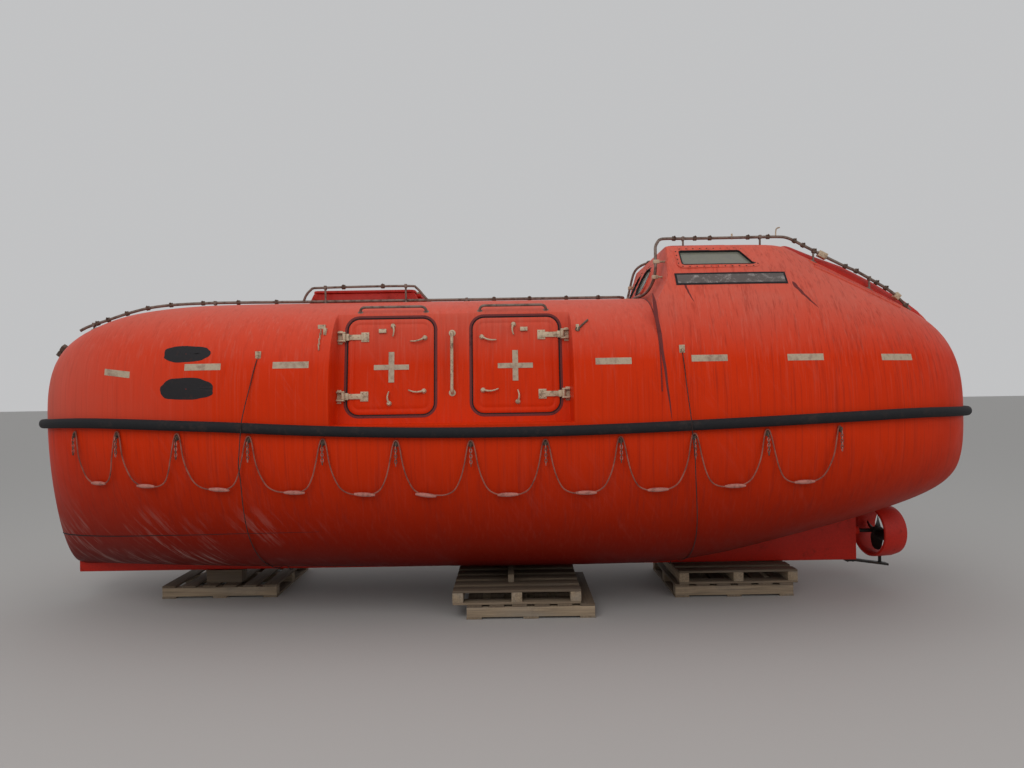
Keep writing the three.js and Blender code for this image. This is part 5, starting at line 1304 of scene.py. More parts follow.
def make_rails():
    """A hoop above each door and an upright bar between the doors, with their foot plates."""
    foot_plate = [(0.024, -0.006), (0.024, 0.002), (0.019, 0.005), (0.012, 0.006)]
    for name, x0, x1 in (("fore", -1.168, -0.632), ("aft", -0.183, 0.356)):
        y = port_skin(CREST, 0.0, 2.59)[1]
        corners = [(x0 - 0.01, y + 0.02, 2.55), (x0, y - 0.03, 2.631)]
        corners += [(x1, y - 0.03, 2.631), (x1 + 0.01, y + 0.02, 2.55)]
        shapes = [tube(bent(corners, 0.045), 0.011, 12)]
        for x in (x0 - 0.004, x1 + 0.004):
            shapes.append(lathe(foot_plate, port_skin(CREST, x, 2.587, 0.004), (0, -0.72, 0.69), 16))
        pair("hoop_{}_" + name, shapes, "pipe", replaces=("grab_hoop_{}_" + name,), sharp=50)
    x, low, high, out = -0.412, 0.248, 0.742, 0.048
    corners = [(x, low, -0.01), (x, low, out), (x, high, out), (x, high, -0.01)]
    shapes = [tube(bent([PANEL @ Vector(corner) for corner in corners], 0.03), 0.013, 14)]
    for up in (low, high):
        plate = lathe([(0.028, -0.002), (0.028, 0.003), (0.014, 0.006)], (x, up, 0), steps=18)
        shapes.append(moved(plate, PANEL))
    pair("upright_bar_{}", shapes, "fittings", replaces=("grab_bar_{}",), sharp=50)


# Columns: x, y, z of each place along a pipe.
FORE_PIPE = [
    (-3.824, -0.505, 2.528), (-3.752, -0.505, 2.563), (-3.574, -0.5, 2.622), (-3.412, -0.49, 2.676),
    (-3.226, -0.48, 2.724), (-3.018, -0.47, 2.751), (-2.735, -0.46, 2.764), (-2.42, -0.45, 2.767),
    (-1.745, -0.45, 2.764), (-0.304, -0.45, 2.762), (1.02, -0.45, 2.762), (1.07, -0.44, 2.762),
    (1.102, -0.4, 2.763), (1.122, -0.262, 2.763), (1.138, -0.218, 2.763), (1.168, -0.2, 2.763),
    (1.203, -0.2, 2.763),
]
HATCH_PIPE = [
    (-1.822, -0.45, 2.755), (-1.788, -0.462, 2.825), (-1.738, -0.474, 2.872), (-1.69, -0.478, 2.885),
    (-0.838, -0.478, 2.89), (-0.778, -0.474, 2.868), (-0.722, -0.462, 2.804), (-0.68, -0.45, 2.755),
]
FOOT_PIPE = [(1.218, -GAP, 2.763), (1.218, -0.2, 2.763), (1.226, -0.4, 2.76), (1.25, -0.6, 2.758)]
CORNER_PIPE = {
    "port": [
        (1.275, -0.74, 2.785), (1.302, -0.84, 2.86), (1.312, -0.868, 2.94), (1.316, -0.86, 3.01),
        (1.328, -0.8, 3.1), (1.34, -0.745, 3.16), (1.365, -0.7, 3.205), (1.4, -0.65, 3.242),
        (1.47, -0.6, 3.259),
    ],
    "starboard": [
        (1.29, -0.72, 2.79), (1.328, -0.79, 2.88), (1.362, -0.8, 3.01), (1.382, -0.785, 3.1),
        (1.405, -0.76, 3.175), (1.45, -0.72, 3.225), (1.52, -0.65, 3.25),
    ],
}
ROOF_PIPE = [
    (1.62, -0.575, 3.262), (2.04, -0.57, 3.264), (2.453, -0.57, 3.266), (2.56, -0.568, 3.254),
    (2.686, -0.565, 3.193), (2.874, -0.556, 3.097), (3.07, -0.55, 2.999), (3.18, -0.545, 2.952),
    (3.365, -0.53, 2.85), (3.464, -0.52, 2.793), (3.554, -0.515, 2.726), (3.683, -0.5, 2.598),
]
FORE_FITTINGS = (-3.667, -3.572, -3.407, -3.222, -3.016, -2.729, -2.411, -2.064, -0.0805, 0.243, 0.577, 0.868)
HATCH_FITTINGS = (-1.444, -1.088)
AFT_FITTINGS = (1.537, 1.7275, 1.862, 2.2025, 2.3817, 2.62, 2.697, 2.8, 3.08, 3.18, 3.369, 3.456, 3.64)


def place_at(path, value, axis=0):
    """Place and direction on a path where the coordinate first passes a value."""
    i = int(np.argmax(path[:, axis] > value))
    a, b = path[i - 1], path[i]
    return a + (b - a) * (value - a[axis]) / (b[axis] - a[axis]), unit(b - a)


def spray_fitting(path, x, radius):
    """A collar on the pipe with a small spray cap on its outer side."""
    at, along = place_at(path, x)
    side = unit(np.cross(along, (0.0, 0.0, 1.0)))
    out = side * 0.75 + np.cross(side, along) * 0.5
    out = unit(out * (1 if out[1] < 0 else -1))
    profile = [(radius * 0.8, -0.017), (radius * 1.1, -0.013), (radius * 1.1, 0.013), (radius * 0.8, 0.017)]
    cap = [(0.009, 0), (0.009, radius + 0.006), (0.006, radius + 0.012), (0.003, radius + 0.013)]
    return [lathe(profile, at, along, 14), lathe(cap, at, out, 10)]


def pipe_post(top, foot, lean=(0, 0, 1)):
    """A post under a pipe, with a saddle round the pipe and a foot plate."""
    x, y, z = top
    foot_plate = [(0.032, -0.008), (0.032, 0.002), (0.028, 0.005), (0.01, 0.006)]
    return [
        rod((x, y, foot), (x, y, z), 0.009, 12),
        lathe(foot_plate, (x, y, foot + 0.03), lean, 16),
        block((x - 0.011, y - 0.018, z - 0.018), (x + 0.011, y + 0.018, z + 0.017)),
    ]


def skin_out(table, x, y):
    """Unit direction out of the skin at x and y, from its slopes along and across."""
    step = 0.008
    along = float(skin_z(table, x + step, y) - skin_z(table, x - step, y)) / (2 * step)
    across = float(skin_z(table, x, y + step) - skin_z(table, x, y - step)) / (2 * step)
    return Vector((-along, -across, 1)).normalized()


def aft_pipe_holders(aft):
    """Clamps of the aft pipe at the front and on the slope, and the hook and peg on the roof."""
    shapes = []
    for z in (2.88, 3.01):
        x, y, _ = place_at(aft, z, 2)[0]
        shapes.append(rod((x, y, z), (front_x(y, z) + 0.04, y, z), 0.009, 12))
        shapes.append(block((x - 0.019, y - 0.02, z - 0.016), (x + 0.03, y + 0.02, z + 0.016)))
    for near, long in ((2.872, 0.08), (3.556, 0.05)):
        at, along = place_at(aft, near)
        turn = Vector((1, 0, 0)).rotation_difference(Vector(along)).to_matrix().to_4x4()
        clamp = block((-long / 2, -0.024, -0.026), (long / 2, 0.024, 0.026))
        shapes.append(moved(clamp, Matrix.Translation(at) @ turn))
        for u in (-0.015, 0.015):
            shapes.append(rod(at + np.array([u, -0.03, 0]), at + np.array([u, 0.03, 0]), 0.006, 6))
    hook = [(2.454, -0.57, 3.266), (2.454, -0.57, 3.31), (2.462, -0.57, 3.34), (2.49, -0.57, 3.35)]
    peg = rod((2.06, -0.57, 3.25), (2.06, -0.57, 3.3), 0.008, 10)
    return shapes + [tube(smooth_path(hook, 0.01), 0.006, 8), peg]


def make_pipes():
    """Water-spray pipes with their fittings, posts, saddles and clamps, on both sides."""
    sizes, _ = settings()
    main, branch = smooth_path(FORE_PIPE, 0.03), smooth_path(HATCH_PIPE, 0.02)
    pipes = [tube(main, sizes.pipe, 12), tube(branch, sizes.pipe - 0.002, 12)]
    pair("fore_pipe_{}", pipes, "pipe", replaces=("spray_pipe_fore_{}",), sharp=50)
    posts, sprays = [], []
    for path, places, fittings in (
        (main, (-3.7, -2.62, -0.33), FORE_FITTINGS),
        (branch, (-1.61, -0.88), HATCH_FITTINGS),
    ):
        for x in places:
            top, _ = place_at(path, x)
            posts += pipe_post(top, float(skin_z(CREST, x, top[1])) - 0.03, skin_out(CREST, x, top[1]))
        for x in fittings:
            sprays += spray_fitting(path, x, sizes.nozzle)
    pair("fore_pipe_posts_{}", posts, "pipe", bevel=0.001)
    pair("fore_pipe_sprays_{}", sprays, "spray fitting")
    for one in SIDES:
        aft = smooth_path(FOOT_PIPE + CORNER_PIPE[one[0]] + ROOF_PIPE, 0.025)
        how = {"replaces": ("spray_pipe_aft_{}",), "sharp": 50, "sides": [one]}
        pair("aft_pipe_{}", tube(aft, sizes.pipe, 12), "pipe", **how)
        legs = []
        for x in (1.62, 2.31, 2.79, 3.3):
            top, _ = place_at(aft, x)
            skin = min(ROOF_Z, float(skin_z(DOME, x, top[1])))
            lean = (0, 0, 1) if skin == ROOF_Z else skin_out(DOME, x, top[1])
            legs += pipe_post(top, skin - 0.03, lean)
        pair("aft_pipe_legs_{}", legs, "pipe", sides=[one], bevel=0.001)
        pair("aft_pipe_clamps_{}", aft_pipe_holders(aft), "fittings", sides=[one], bevel=0.001)
        sprays = [shape for x in AFT_FITTINGS for shape in spray_fitting(aft, x, sizes.nozzle)]
        pair("aft_pipe_sprays_{}", sprays, "spray fitting", sides=[one])


# Fittings on hull and canopy.
EYE_X = [-3.546, -3.089, -2.554, -1.981, -1.405, -0.837, -0.256, 0.323, 0.907, 1.48, 2.047, 2.626]
EYE_DROP = 0.092
# Outline of a lifting hook. Columns: along the boat, height over the well's floor.
CLAW = [(-0.07, 0.13), (0.02, 0.13), (0.04, 0.18), (0.01, 0.225), (-0.05, 0.235)]
CLAW += [(-0.06, 0.205), (-0.01, 0.19), (-0.005, 0.165), (-0.07, 0.16)]


def chain(top, count, link, out):
    """Links hanging from a place: rings drawn out in height, each a quarter turn from the last."""
    shapes = []
    for k in range(count):
        across = (0, 1, 0) if k % 2 else (1, 0, 0)
        points, faces = ring(link * 0.3, link * 0.11, (0, 0, 0), across, 12, 6)
        drop = np.array([0, 0, link * 0.72 * k])
        shapes.append((points * np.array([1, 1, 1.55]) + np.array(top) + np.array(out) - drop, faces))
    return shapes


def make_eyes(sizes):
    """Eyes under the fender with their chains, pad eyes for the securing lines, and the bow bitts."""
    studs, links, pads = [], [], []
    for x in EYE_X:
        z = float(gunwale(x)) - EYE_DROP
        y = port_skin(BOTTOM, x, z)[1]
        studs.append(lathe([(0.022, -0.012), (0.022, 0.002), (0.016, 0.004)], (x, y, z), (0, -1, 0), 16))
        studs.append(lathe([(0.011, -0.03), (0.011, 0.0145), (0.009, 0.0163)], (x, y, z), (0, -1, 0), 14))
        studs.append(ring(0.014, 0.0042, (x, y - 0.02, z - 0.012), (1, 0, 0), 14, 8))
        links += chain((x, y, z), 7, sizes.link, (0, -0.034, -0.026))
    pair("eye_studs_{}", studs, "spray fitting")
    pair("eye_chains_{}", links[::2], "spray fitting")
    pair("eye_links_{}", links[1::2], "float")
    for _, x, table, _ in LINES:
        y = port_skin(table, x, LINE_Z)[1]
        pads.append(block((x - 0.022, y - 0.008, 2.203), (x + 0.022, y + 0.04, 2.267)))
        pads.append(ring(0.012, 0.005, (x, y - 0.014, 2.222), (1, 0, 0), 16, 8))
    pair("pad_eyes_{}", pads, "fittings", bevel=0.002)
    x, y = -4.03, -0.4
    out = skin_out(CREST, x, y)
    along = Vector((1, 0, 0)) - out * out.x
    placing = plane_frame((x, y, float(skin_z(CREST, x, y))), along, out.cross(along))
    heads = [block((u - 0.026, -0.028, 0.006), (u + 0.026, 0.028, 0.048)) for u in (-0.033, 0.033)]
    bitts = moved(together([block((-0.062, -0.036, -0.03), (0.062, 0.036, 0.01)), *heads]), placing)
    pair("bitts_{}", bitts, "spray fitting", replaces=("bow_bitts_{}",), bevel=0.005)


def make_hook(name, x, table):
    """A lifting hook on its base plate, between two cheeks, at the foot of its well."""
    floor = float(read(table, x)) - WELL["deep"] + GAP
    shapes = [block((x - 0.12, -0.075, floor), (x + 0.12, 0.075, floor + 0.018))]
    for y in (-0.034, 0.034):
        shapes.append(block((x - 0.06, y - 0.009, floor + 0.015), (x + 0.06, y + 0.009, floor + 0.19)))
    shapes.append(upright([(x + u, floor + v) for u, v in CLAW], 0.022))
    shapes.append(rod((x, -0.05, floor + 0.15), (x, 0.05, floor + 0.15), 0.014, 16))
    for u in (-0.095, 0.095):
        shapes += [bolt(x + u, v, floor + 0.018, 0.009) for v in (-0.055, 0.055)]
    piece_of("hook_" + name, shapes, "fittings", replaces=("lifting_hook_" + name,), bevel=0.003)


def make_fittings():
    """Eyes, pad eyes and bitts, then the stem eye, the lifting hooks and small rigging."""
    sizes, _ = settings()
    make_eyes(sizes)
    corners = [(-4.18, -0.019, 1.372), (-4.298, -0.032, 1.372), (-4.298, 0.032, 1.372), (-4.18, 0.019, 1.372)]
    stem = [tube(bent(corners, 0.028), 0.009, 12), block((-4.262, -0.045, 1.335), (-4.244, 0.045, 1.41))]
    piece_of("stem_ring", stem, "bronze", replaces=("stem_eye",), bevel=0.001)
    for name, x, table in WELLS:
        make_hook(name, x, table)
    x, y, z = port_skin(CREST, -1.45, 2.46)
    rigging = [block((x - 0.03, y - 0.012, z - 0.02), (x + 0.03, y + 0.03, z + 0.02))]
    for k in range(8):
        low = z - 0.025 - sizes.link * 0.72 * k
        rigging += chain(port_skin(CREST, x, low), 1, sizes.link, (0.004 * (k % 2), -0.012, 0))
    piece_of("door_chain", rigging, "fittings")
    brackets = []
    for x in (-1.415, 0.6):
        y = port_skin(CREST, x, 2.42)[1]
        brackets.append(block((x - 0.012, y - 0.02, 2.39), (x + 0.012, y + 0.03, 2.45)))
        brackets.append(ring(0.014, 0.005, (x, y - 0.026, 2.41), (1, 0, 0), 14, 8))
    piece_of("recess_brackets", brackets, "fittings", bevel=0.001)
    a, b = port_skin(CREST, 0.6, 2.41, -0.012), port_skin(CREST, 0.69, 2.49, -0.012)
    piece_of("loose_pin", [rod(a, b, 0.008, 10), ring(0.014, 0.005, a, (0, 1, 0), 14, 8)], "spray fitting")


def skin_patch(table, x0, x1, z0, z1, thick=0.0012, slant=0.0, steps=(24, 8)):
    """A thin sheet on the port skin between two stations and two heights, slanted in height along x."""
    u, v = np.linspace(0, 1, steps[0])[:, None], np.linspace(0, 1, steps[1])
    return sheet_on_skin(port_skin(table, x0 + (x1 - x0) * u, z0 + (z1 - z0) * v + slant * u), thick)


def sheet_on_skin(grid, thick):
    """A grid on the skin made a closed sheet: the grid moved out and in along its normals."""
    normal = unit(np.cross(np.gradient(grid, axis=0), np.gradient(grid, axis=1)))
    normal *= np.where(normal[..., 1] > 0, -1.0, 1.0)[..., None]
    rows, columns = grid.shape[:2]
    count = rows * columns
    faces = grid_faces(rows, columns)
    faces += [[i + count for i in side[::-1]] for side in faces]
    index = np.arange(count).reshape(rows, columns)
    rim = np.r_[index[0], index[1:, -1], index[-1, -2::-1], index[-2:0:-1, 0]]
    ahead = np.roll(rim, -1)
    faces += np.stack([ahead, rim, rim + count, ahead + count], axis=1).tolist()
    return np.concatenate([grid + normal * thick, grid - normal * thick]).reshape(-1, 3), faces


def blot(table, x, z, wide, high, seed):
    """An uneven blot of paint on the skin: rings of a superellipse whose outline a sum of sines roughens."""
    turn = np.linspace(0, 2 * math.pi, 41)
    share = np.linspace(0.02, 1, 6)[:, None]
    edge = 1.04 + 0.04 * np.sin(3 * turn + seed) + 0.025 * np.sin(7 * turn + 2 * seed)
    edge += 0.01 * np.sin(13 * turn)
    power = lambda value: np.sign(value) * np.abs(value) ** 0.78
    px = x + wide / 2 * share * edge * power(np.cos(turn))
    pz = z + high / 2 * share * edge * power(np.sin(turn))
    return sheet_on_skin(port_skin(table, px, pz), 0.0008)


def drip(x0, z0, x1, z1, wide):
    """A streak run down the skin, for a stain and for painted shade at the fold: its middle bends as
    share^1.3, its width goes as (1 - share)^0.6.
    """
    u, v = np.linspace(0, 1, 16)[:, None], np.linspace(-1, 1, 3)
    wide = wide * np.minimum(1, 9 * u + 0.2) * (1.01 - u) ** 0.6 * (1 + 0.2 * np.sin(23 * u) * v)
    return sheet_on_skin(port_skin(DOME, x0 + (x1 - x0) * u**1.3 + v * wide / 2, z0 + (z1 - z0) * u), 0.0007)


def make_markings():
    """Reflective tapes, two plain blots of paint, the blank grey plate, the stains and a line of painted
    shade down the fold.
    """
    half = settings()[0].tape / 2
    tapes = []
    for x0, x1, z, slant in TAPES:
        tapes.append(skin_patch(CREST if x1 < FOLD_X else DOME, x0, x1, z - half, z + half, slant=slant))
    pair("tapes_{}", tapes, "reflective tape")
    pair("paint_blots_{}", [blot(CREST, *row) for row in BLOTS], "black paint")
    x0, x1, z0, z1 = PLATE
    pair("blank_plate_{}", skin_patch(DOME, x0, x1, z0, z1, 0.003, steps=(30, 10)), "grey plate")
    border = [
        skin_patch(DOME, x0 - 0.01, x1 + 0.01, z0 - 0.008, z0 + 0.006, 0.004, steps=(30, 3)),
        skin_patch(DOME, x0 - 0.01, x1 + 0.01, z1 - 0.006, z1 + 0.008, 0.004, steps=(30, 3)),
        skin_patch(DOME, x0 - 0.01, x0 + 0.006, z0, z1, 0.004, steps=(3, 10)),
        skin_patch(DOME, x1 - 0.006, x1 + 0.01, z0, z1, 0.004, steps=(3, 10)),
    ]
    pair("plate_border_{}", border, "rubber")
    # The first two stains run from the plate's ends; the third, down the fold, is painted shade in the
    # crease.
    stains = [drip(1.5, z0, 1.55, 2.62, 0.02), drip(2.39, z0 + 0.01, 2.56, 2.56, 0.04)]
    pair("stains_{}", stains + [drip(1.226, 2.7, 1.31, 1.68, 0.036)], "fold shade")


# Ropes.
ROPE_RADIUS = 0.006
LINE_RADIUS = 0.004
LOOP_SAG = 0.398
LOOP_POWER = 4.2
LOOP_SHARES = (0.06, 0.12, 0.21, 0.34, 0.5, 0.66, 0.79, 0.88, 0.94)
FLOAT_SHARE = [0.5, 0.43, 0.57, 0.6, 0.56, 0.38, 0.48, 0.54, 0.5, 0.56, 0.51]
OVER_EYE = 0.0162 / math.sqrt(0.5)
LINE_Z = 2.235
# Columns: height, how far a securing line has drifted along the boat.
LINES = [
    ("fore", -1.918, CREST, [(0.24, -0.165), (0.7, -0.16), (1.1, -0.135), (1.7, -0.095), (2.235, 0.0)]),
    ("aft", 1.412, DOME, [(0.24, 0.15), (0.7, 0.128), (1.1, 0.082), (1.7, 0.03), (2.235, 0.0)]),
]


def beside_hull(x, z):
    """Place of a grab line's middle where it lies against the port hull."""
    return port_skin(BOTTOM, x, z, -0.012)


def loop_place(k, share):
    """Place on a hanging loop: it sags by 1 - |2 share - 1| ^ power between its two eyes."""
    a, b = EYE_X[k], EYE_X[k + 1]
    at = a + OVER_EYE + (b - a - 2 * OVER_EYE) * share
    level = float(gunwale(a)) * (1 - share) + float(gunwale(b)) * share - EYE_DROP
    sag = LOOP_SAG * (1 - abs(share * 2 - 1) ** LOOP_POWER)
    return beside_hull(at, level - sag) + np.array([0, -0.022, 0])


def grab_route():
    """Places along the port grab line: over each eye and down each loop."""
    places = []
    for k, x in enumerate(EYE_X):
        z = float(gunwale(x)) - EYE_DROP
        for degrees in (90 if k == 0 else 135, 90 if k == len(EYE_X) - 1 else 45):
            turn = math.radians(degrees)
            place = beside_hull(x + OVER_EYE * math.cos(turn), z)
            place[2] = z + OVER_EYE * math.sin(turn)
            places.append(place)
        if k < len(EYE_X) - 1:
            places += [loop_place(k, share) for share in LOOP_SHARES]
    return np.array(places)


def securing_route(pad_x, table, drift):
    """Places along a securing line: port pad eye, over the fender, under the keel, up to starboard."""
    line_x = lambda z: pad_x + float(read(drift, z))
    rim = line_x(float(gunwale(pad_x)))
    top = float(gunwale(rim)) + 0.04
    edge = float(half_breadth(rim)) + 0.066 + LINE_RADIUS + 2 * GAP
    start = (float(skin_y(table, pad_x, LINE_Z)) + 0.013, LINE_Z - 0.032 - 7 * GAP)
    half = [start]
    for share in (0.2, 0.4, 0.6, 0.8):
        z = start[1] + (top + 0.02 - start[1]) * share
        straight = start[0] + (edge - start[0]) * share
        half.append((max(straight, float(skin_y(table, line_x(z), z)) + 0.011), z))
    half += [(edge + 0.001, top + 0.01)] + [(edge, z) for z in (top - 0.05, 1.48, 1.38)]
    for z in (1.25, 1.05, 0.88, 0.73, 0.6, 0.52, 0.465, 0.42):
        half.append((min(edge, float(skin_y(BOTTOM, line_x(z), z)) + 0.011 + (z - 0.38) * 0.05), z))
    half += [(y, float(skin_z(BOTTOM, line_x(KEEL_Z), y)) - 0.011) for y in (0.56, 0.4, 0.24)]
    half += [(0.09, KEEL_Z + 0.004), (0.052, KEEL_Z - LINE_RADIUS - GAP)]
    down = [(line_x(z), -y, z) for y, z in half]
    return np.array(down + [(x, -y, z) for x, y, z in down[::-1]])


def laid_rope(name, path, radius, finish, pitch):
    """Three strands laid round a path: the radius falls by a fifth between them, turning with length."""
    sides = 12
    turned = run_of(path)[:, None] / pitch * 2 * math.pi
    lobes = 0.5 + 0.5 * np.cos(3 * (circle(sides) - turned))
    shape = tube(path, radius * (0.8 + 0.2 * lobes), sides)
    return finished(object_from(name, shape, {"hollow": (1 - lobes).reshape(-1)}), finish, sharp=70)


def make_grab_lines():
    """One laid rope a side with its floats, hanging in loops from eye to eye."""
    sizes, _ = settings()
    profile = [(0.006, -0.082), (0.009, -0.078), (0.014, -0.05), (0.0165, -0.02)]
    profile += [(radius, -along) for radius, along in profile[::-1]]
    for side_word, side in SIDES:
        path = smooth_path(grab_route() * np.array([1, side, 1]), sizes.rope_step)
        rope = laid_rope("grab_rope_" + side_word, path, ROPE_RADIUS, "grab line", 0.045)
        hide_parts("grab_line_" + side_word)
        floats = []
        for k, share in enumerate(FLOAT_SHARE):
            at = loop_place(k, share) * np.array([1, side, 1])
            near = int(np.argmin(np.linalg.norm(path - at, axis=1)))
            floats.append(lathe(profile, path[near], unit(path[near + 1] - path[near - 1]), 16))
        beads = piece_of("floats_" + side_word, floats, "float", sharp=50)


def make_securing_lines():
    """The two thin lines that go right round the boat, each drawn taut."""
    sizes, _ = settings()
    for name, x, table, drift in LINES:
        path = smooth_path(securing_route(x, table, drift), sizes.rope_step)
        line = laid_rope("securing_rope_" + name, path, LINE_RADIUS, "securing line", 0.03)
        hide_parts("securing_line_" + name)


# Pallets and timbers.
PALLET = {"side": 1.09, "height": 0.1197, "deck": 0.019, "board": 0.13, "runner": 0.09}
# Columns: name, x and y of the near corner, foot, whether the deck runs along x.
PALLETS = [
    ("pallet_fore", -3.28, -0.18, 0.0, False), ("pallet_middle_low", -0.345, -0.96, 0.0, False),
    ("pallet_middle_top", -0.462, -0.95, 0.12, True), ("pallet_aft_low", 1.54, -0.4, 0.0, False),
    ("pallet_aft_top", 1.582, -0.395, 0.12, True),
]


def boards_piece(name, boards, nails, replaces):
    """Boards as one piece: each keeps its own grain coordinates and its tone, partly random and partly
    painted shade, and its edges are eased.
    """
    chance = np.random.default_rng(len(name) + len(boards))
    points, faces, grain, tint = [], [], [], []
    # The third number of each board is painted shade: the lower it is, the darker the board is painted.
    for low, high, lit_share in boards:
        low, high = np.array(low, float), np.array(high, float)
        shape = block(low, high)
        faces += [[i + 8 * len(points) for i in side] for side in shape[1]]
        points.append(shape[0])
        grain.append((shape[0] - low)[:, np.argsort(low - high)] + chance.uniform(0, 9, 3))
        tint.append(np.full(8, lit_share + chance.uniform(-0.12, 0.12)))
    marks = {"grain": np.concatenate(grain), "tint": np.concatenate(tint)}
    piece = object_from(name + "_boards", (np.concatenate(points), faces), marks)
    finished(piece, "weathered wood", replaces=replaces, bevel=0.0022)
    if nails:
        piece_of(name + "_nails", [bolt(x, y, z, 0.0045, 0.2) for x, y, z in nails], "spray fitting")


def make_pallets():
    """Five pallets of boards and runners with their nails, the bow chock and the timber."""
    sizes, _ = settings()
    side, height, deck, board, runner = (PALLET[key] for key in ("side", "height", "deck", "board", "runner"))
    pitch = (side - board) / 5
    across = [0, (side - runner) / 2, side - runner]
    for name, x, y, z, along_x in PALLETS:

        def corner(u, v, up):
            """Corner of a board: u along it, v across it."""
            return (x + u, y + v, z + up) if along_x else (x + v, y + u, z + up)

        chance = np.random.default_rng(len(name) * 7 + int(1000 * abs(x)))
        boards, nails = [], []
        for i in range(6):
            start, end = chance.uniform(0, 0.004, 2)
            near, far = i * pitch + chance.uniform(0, 0.004), i * pitch + board - chance.uniform(0, 0.004)
            low, high = corner(start, near, height - deck), corner(side - end, far, height)
            # Deck boards lie in the boat's shade, so they are painted darkest; bottom boards less, runners
            # least.
            boards.append((low, high, 0.2))
            for u in across:
                for n in range(sizes.nails):
                    place = corner(u + 0.03 + 0.03 * n, i * pitch + 0.035 + 0.06 * (n % 2), height - 0.0004)
                    nails.append(place)
        for v in (0, 2.5, 5):
            boards.append((corner(0.002, v * pitch, 0), corner(side - 0.002, v * pitch + board, deck), 0.5))
        for u in across:
            low = corner(u, 0.003, deck + 0.0001)
            boards.append((low, corner(u + runner, side - 0.003, height - deck - 0.0001), 0.85))
        boards_piece(name, boards, nails, (name,))
    chock = [((-2.9, -0.07, 0.12), (-2.56, 0.07, KEEL_Z - GAP), 0.3)]
    boards_piece("bow_chock", chock, [], ("bow_block",))
    boards_piece("timber", [((0.01, -0.69, 0.24), (0.062, -0.0503, 0.308), 0.6)], [], ("middle_timber",))


# Inside.
def rounded_block(low, high, radius, drop=0.02):
    """A block with rounded corners seen from above and an eased top edge."""
    outline = rounded_outline(low[0], high[0], low[1], high[1], radius, 6)
    levels = [(0.004, low[2]), (0, low[2] + 0.004), (0, high[2] - drop)]
    return slab(outline, levels + [(drop * 0.3, high[2] - drop * 0.3), (drop, high[2])])


def bench_shape():
    """Side bench: front at a fixed width, back along the inner wall of the hull, with a rounded nose."""
    xs = np.linspace(-2.6, 0.95, 40)[:, None]
    heights = np.array([SOLE_Z + GAP, 0.95, 1.1, 1.21])
    backs = skin_y(BOTTOM, xs, heights) - 0.055
    fronts = np.broadcast_to([0.83, 0.83, 0.84, 0.86], (40, 4))
    y = -np.concatenate([fronts, backs[:, 3:] - 0.004, backs[:, ::-1]], axis=1)
    z = np.r_[SOLE_Z + GAP, 1.19, 1.222, 1.23, 1.23, heights[::-1]]
    return closed_body(stacked(xs, np.minimum(y, -0.83), z))


def make_interior():
    """Moulded benches, engine box, helm seat with its pads, and the console with its wheel."""
    pair("bench_moulding_{}", bench_shape(), "pale moulding", replaces=("bench_{}",), bevel=0.004)
    floor, top = SOLE_Z + GAP, SOLE_Z + GAP + 0.56
    shapes = [rounded_block((1.95, -0.33, floor), (2.85, 0.33, top), 0.05)]
    for x in 2.0 + 0.1 * np.arange(5):
        shapes.append(block((x, -0.334, floor + 0.3), (x + 0.05, -0.33, floor + 0.42)))
    piece_of("engine_casing", shapes, "machine paint", replaces=("engine",), bevel=0.004)
    seat_z = top + GAP
    frame_parts = [
        rounded_block((2.07, -0.08, seat_z), (2.25, 0.08, seat_z + 0.375), 0.03),
        rounded_block((1.985, -0.2, seat_z + 0.36), (2.335, 0.2, seat_z + 0.385), 0.04, 0.008),
        block((2.325, -0.18, seat_z + 0.37), (2.35, 0.18, seat_z + 0.84)),
    ]
    piece_of("helm_seat_frame", frame_parts, "machine paint", replaces=("helm_seat",), bevel=0.003)
    pads = (
        ("squab", (1.965, -0.215, seat_z + 0.386), (2.262, 0.215, seat_z + 0.466)),
        ("back", (2.27, -0.215, seat_z + 0.47), (2.324, 0.215, seat_z + 0.875)),
    )
    for name, low, high in pads:
        pad = object_from("helm_" + name, pad_shape(low, high))
        finished(pad, "cushion cover", sharp=60)
    console = [
        rounded_block((1.48, -0.32, floor), (1.68, 0.32, 2.15), 0.04),
        rod((1.67, 0, 2.0), (1.77, 0, 2.0), 0.016, 14),
        ring(0.15, 0.013, (1.76, 0, 2.0), (1, 0, 0), 32, 10),
        block((1.753, -0.148, 1.989), (1.766, 0.148, 2.011)),
        block((1.753, -0.011, 1.852), (1.766, 0.011, 2.148)),
        lathe([(0.03, -0.016), (0.03, 0.01), (0.02, 0.018)], (1.76, 0, 2.0), (1, 0, 0), 16),
    ]
    for y in (-0.2, 0.2):
        console.append(lathe([(0.04, -0.002), (0.04, 0.008), (0.034, 0.01)], (1.68, y, 2.09), (1, 0, 0), 18))
    piece_of("helm_stand", console, "machine paint", replaces=("helm_console",), bevel=0.0015)


def pad_shape(low, high):
    """A stuffed pad: a superellipsoid, |x|^5 + |y|^5 + |z|^5 = 1, stretched between two corners."""
    u, v = np.linspace(-math.pi / 2, math.pi / 2, 33)[:, None], circle(64)
    power = lambda value: np.sign(value) * np.abs(value) ** 0.4
    grid = stacked(power(np.cos(u) * np.cos(v)), power(np.cos(u) * np.sin(v)), power(np.sin(u)))
    low, high = np.array(low), np.array(high)
    places = grid * (high - low) / 2 + (low + high) / 2
    return places.reshape(-1, 3), grid_faces(33, 64, wrap_columns=True)


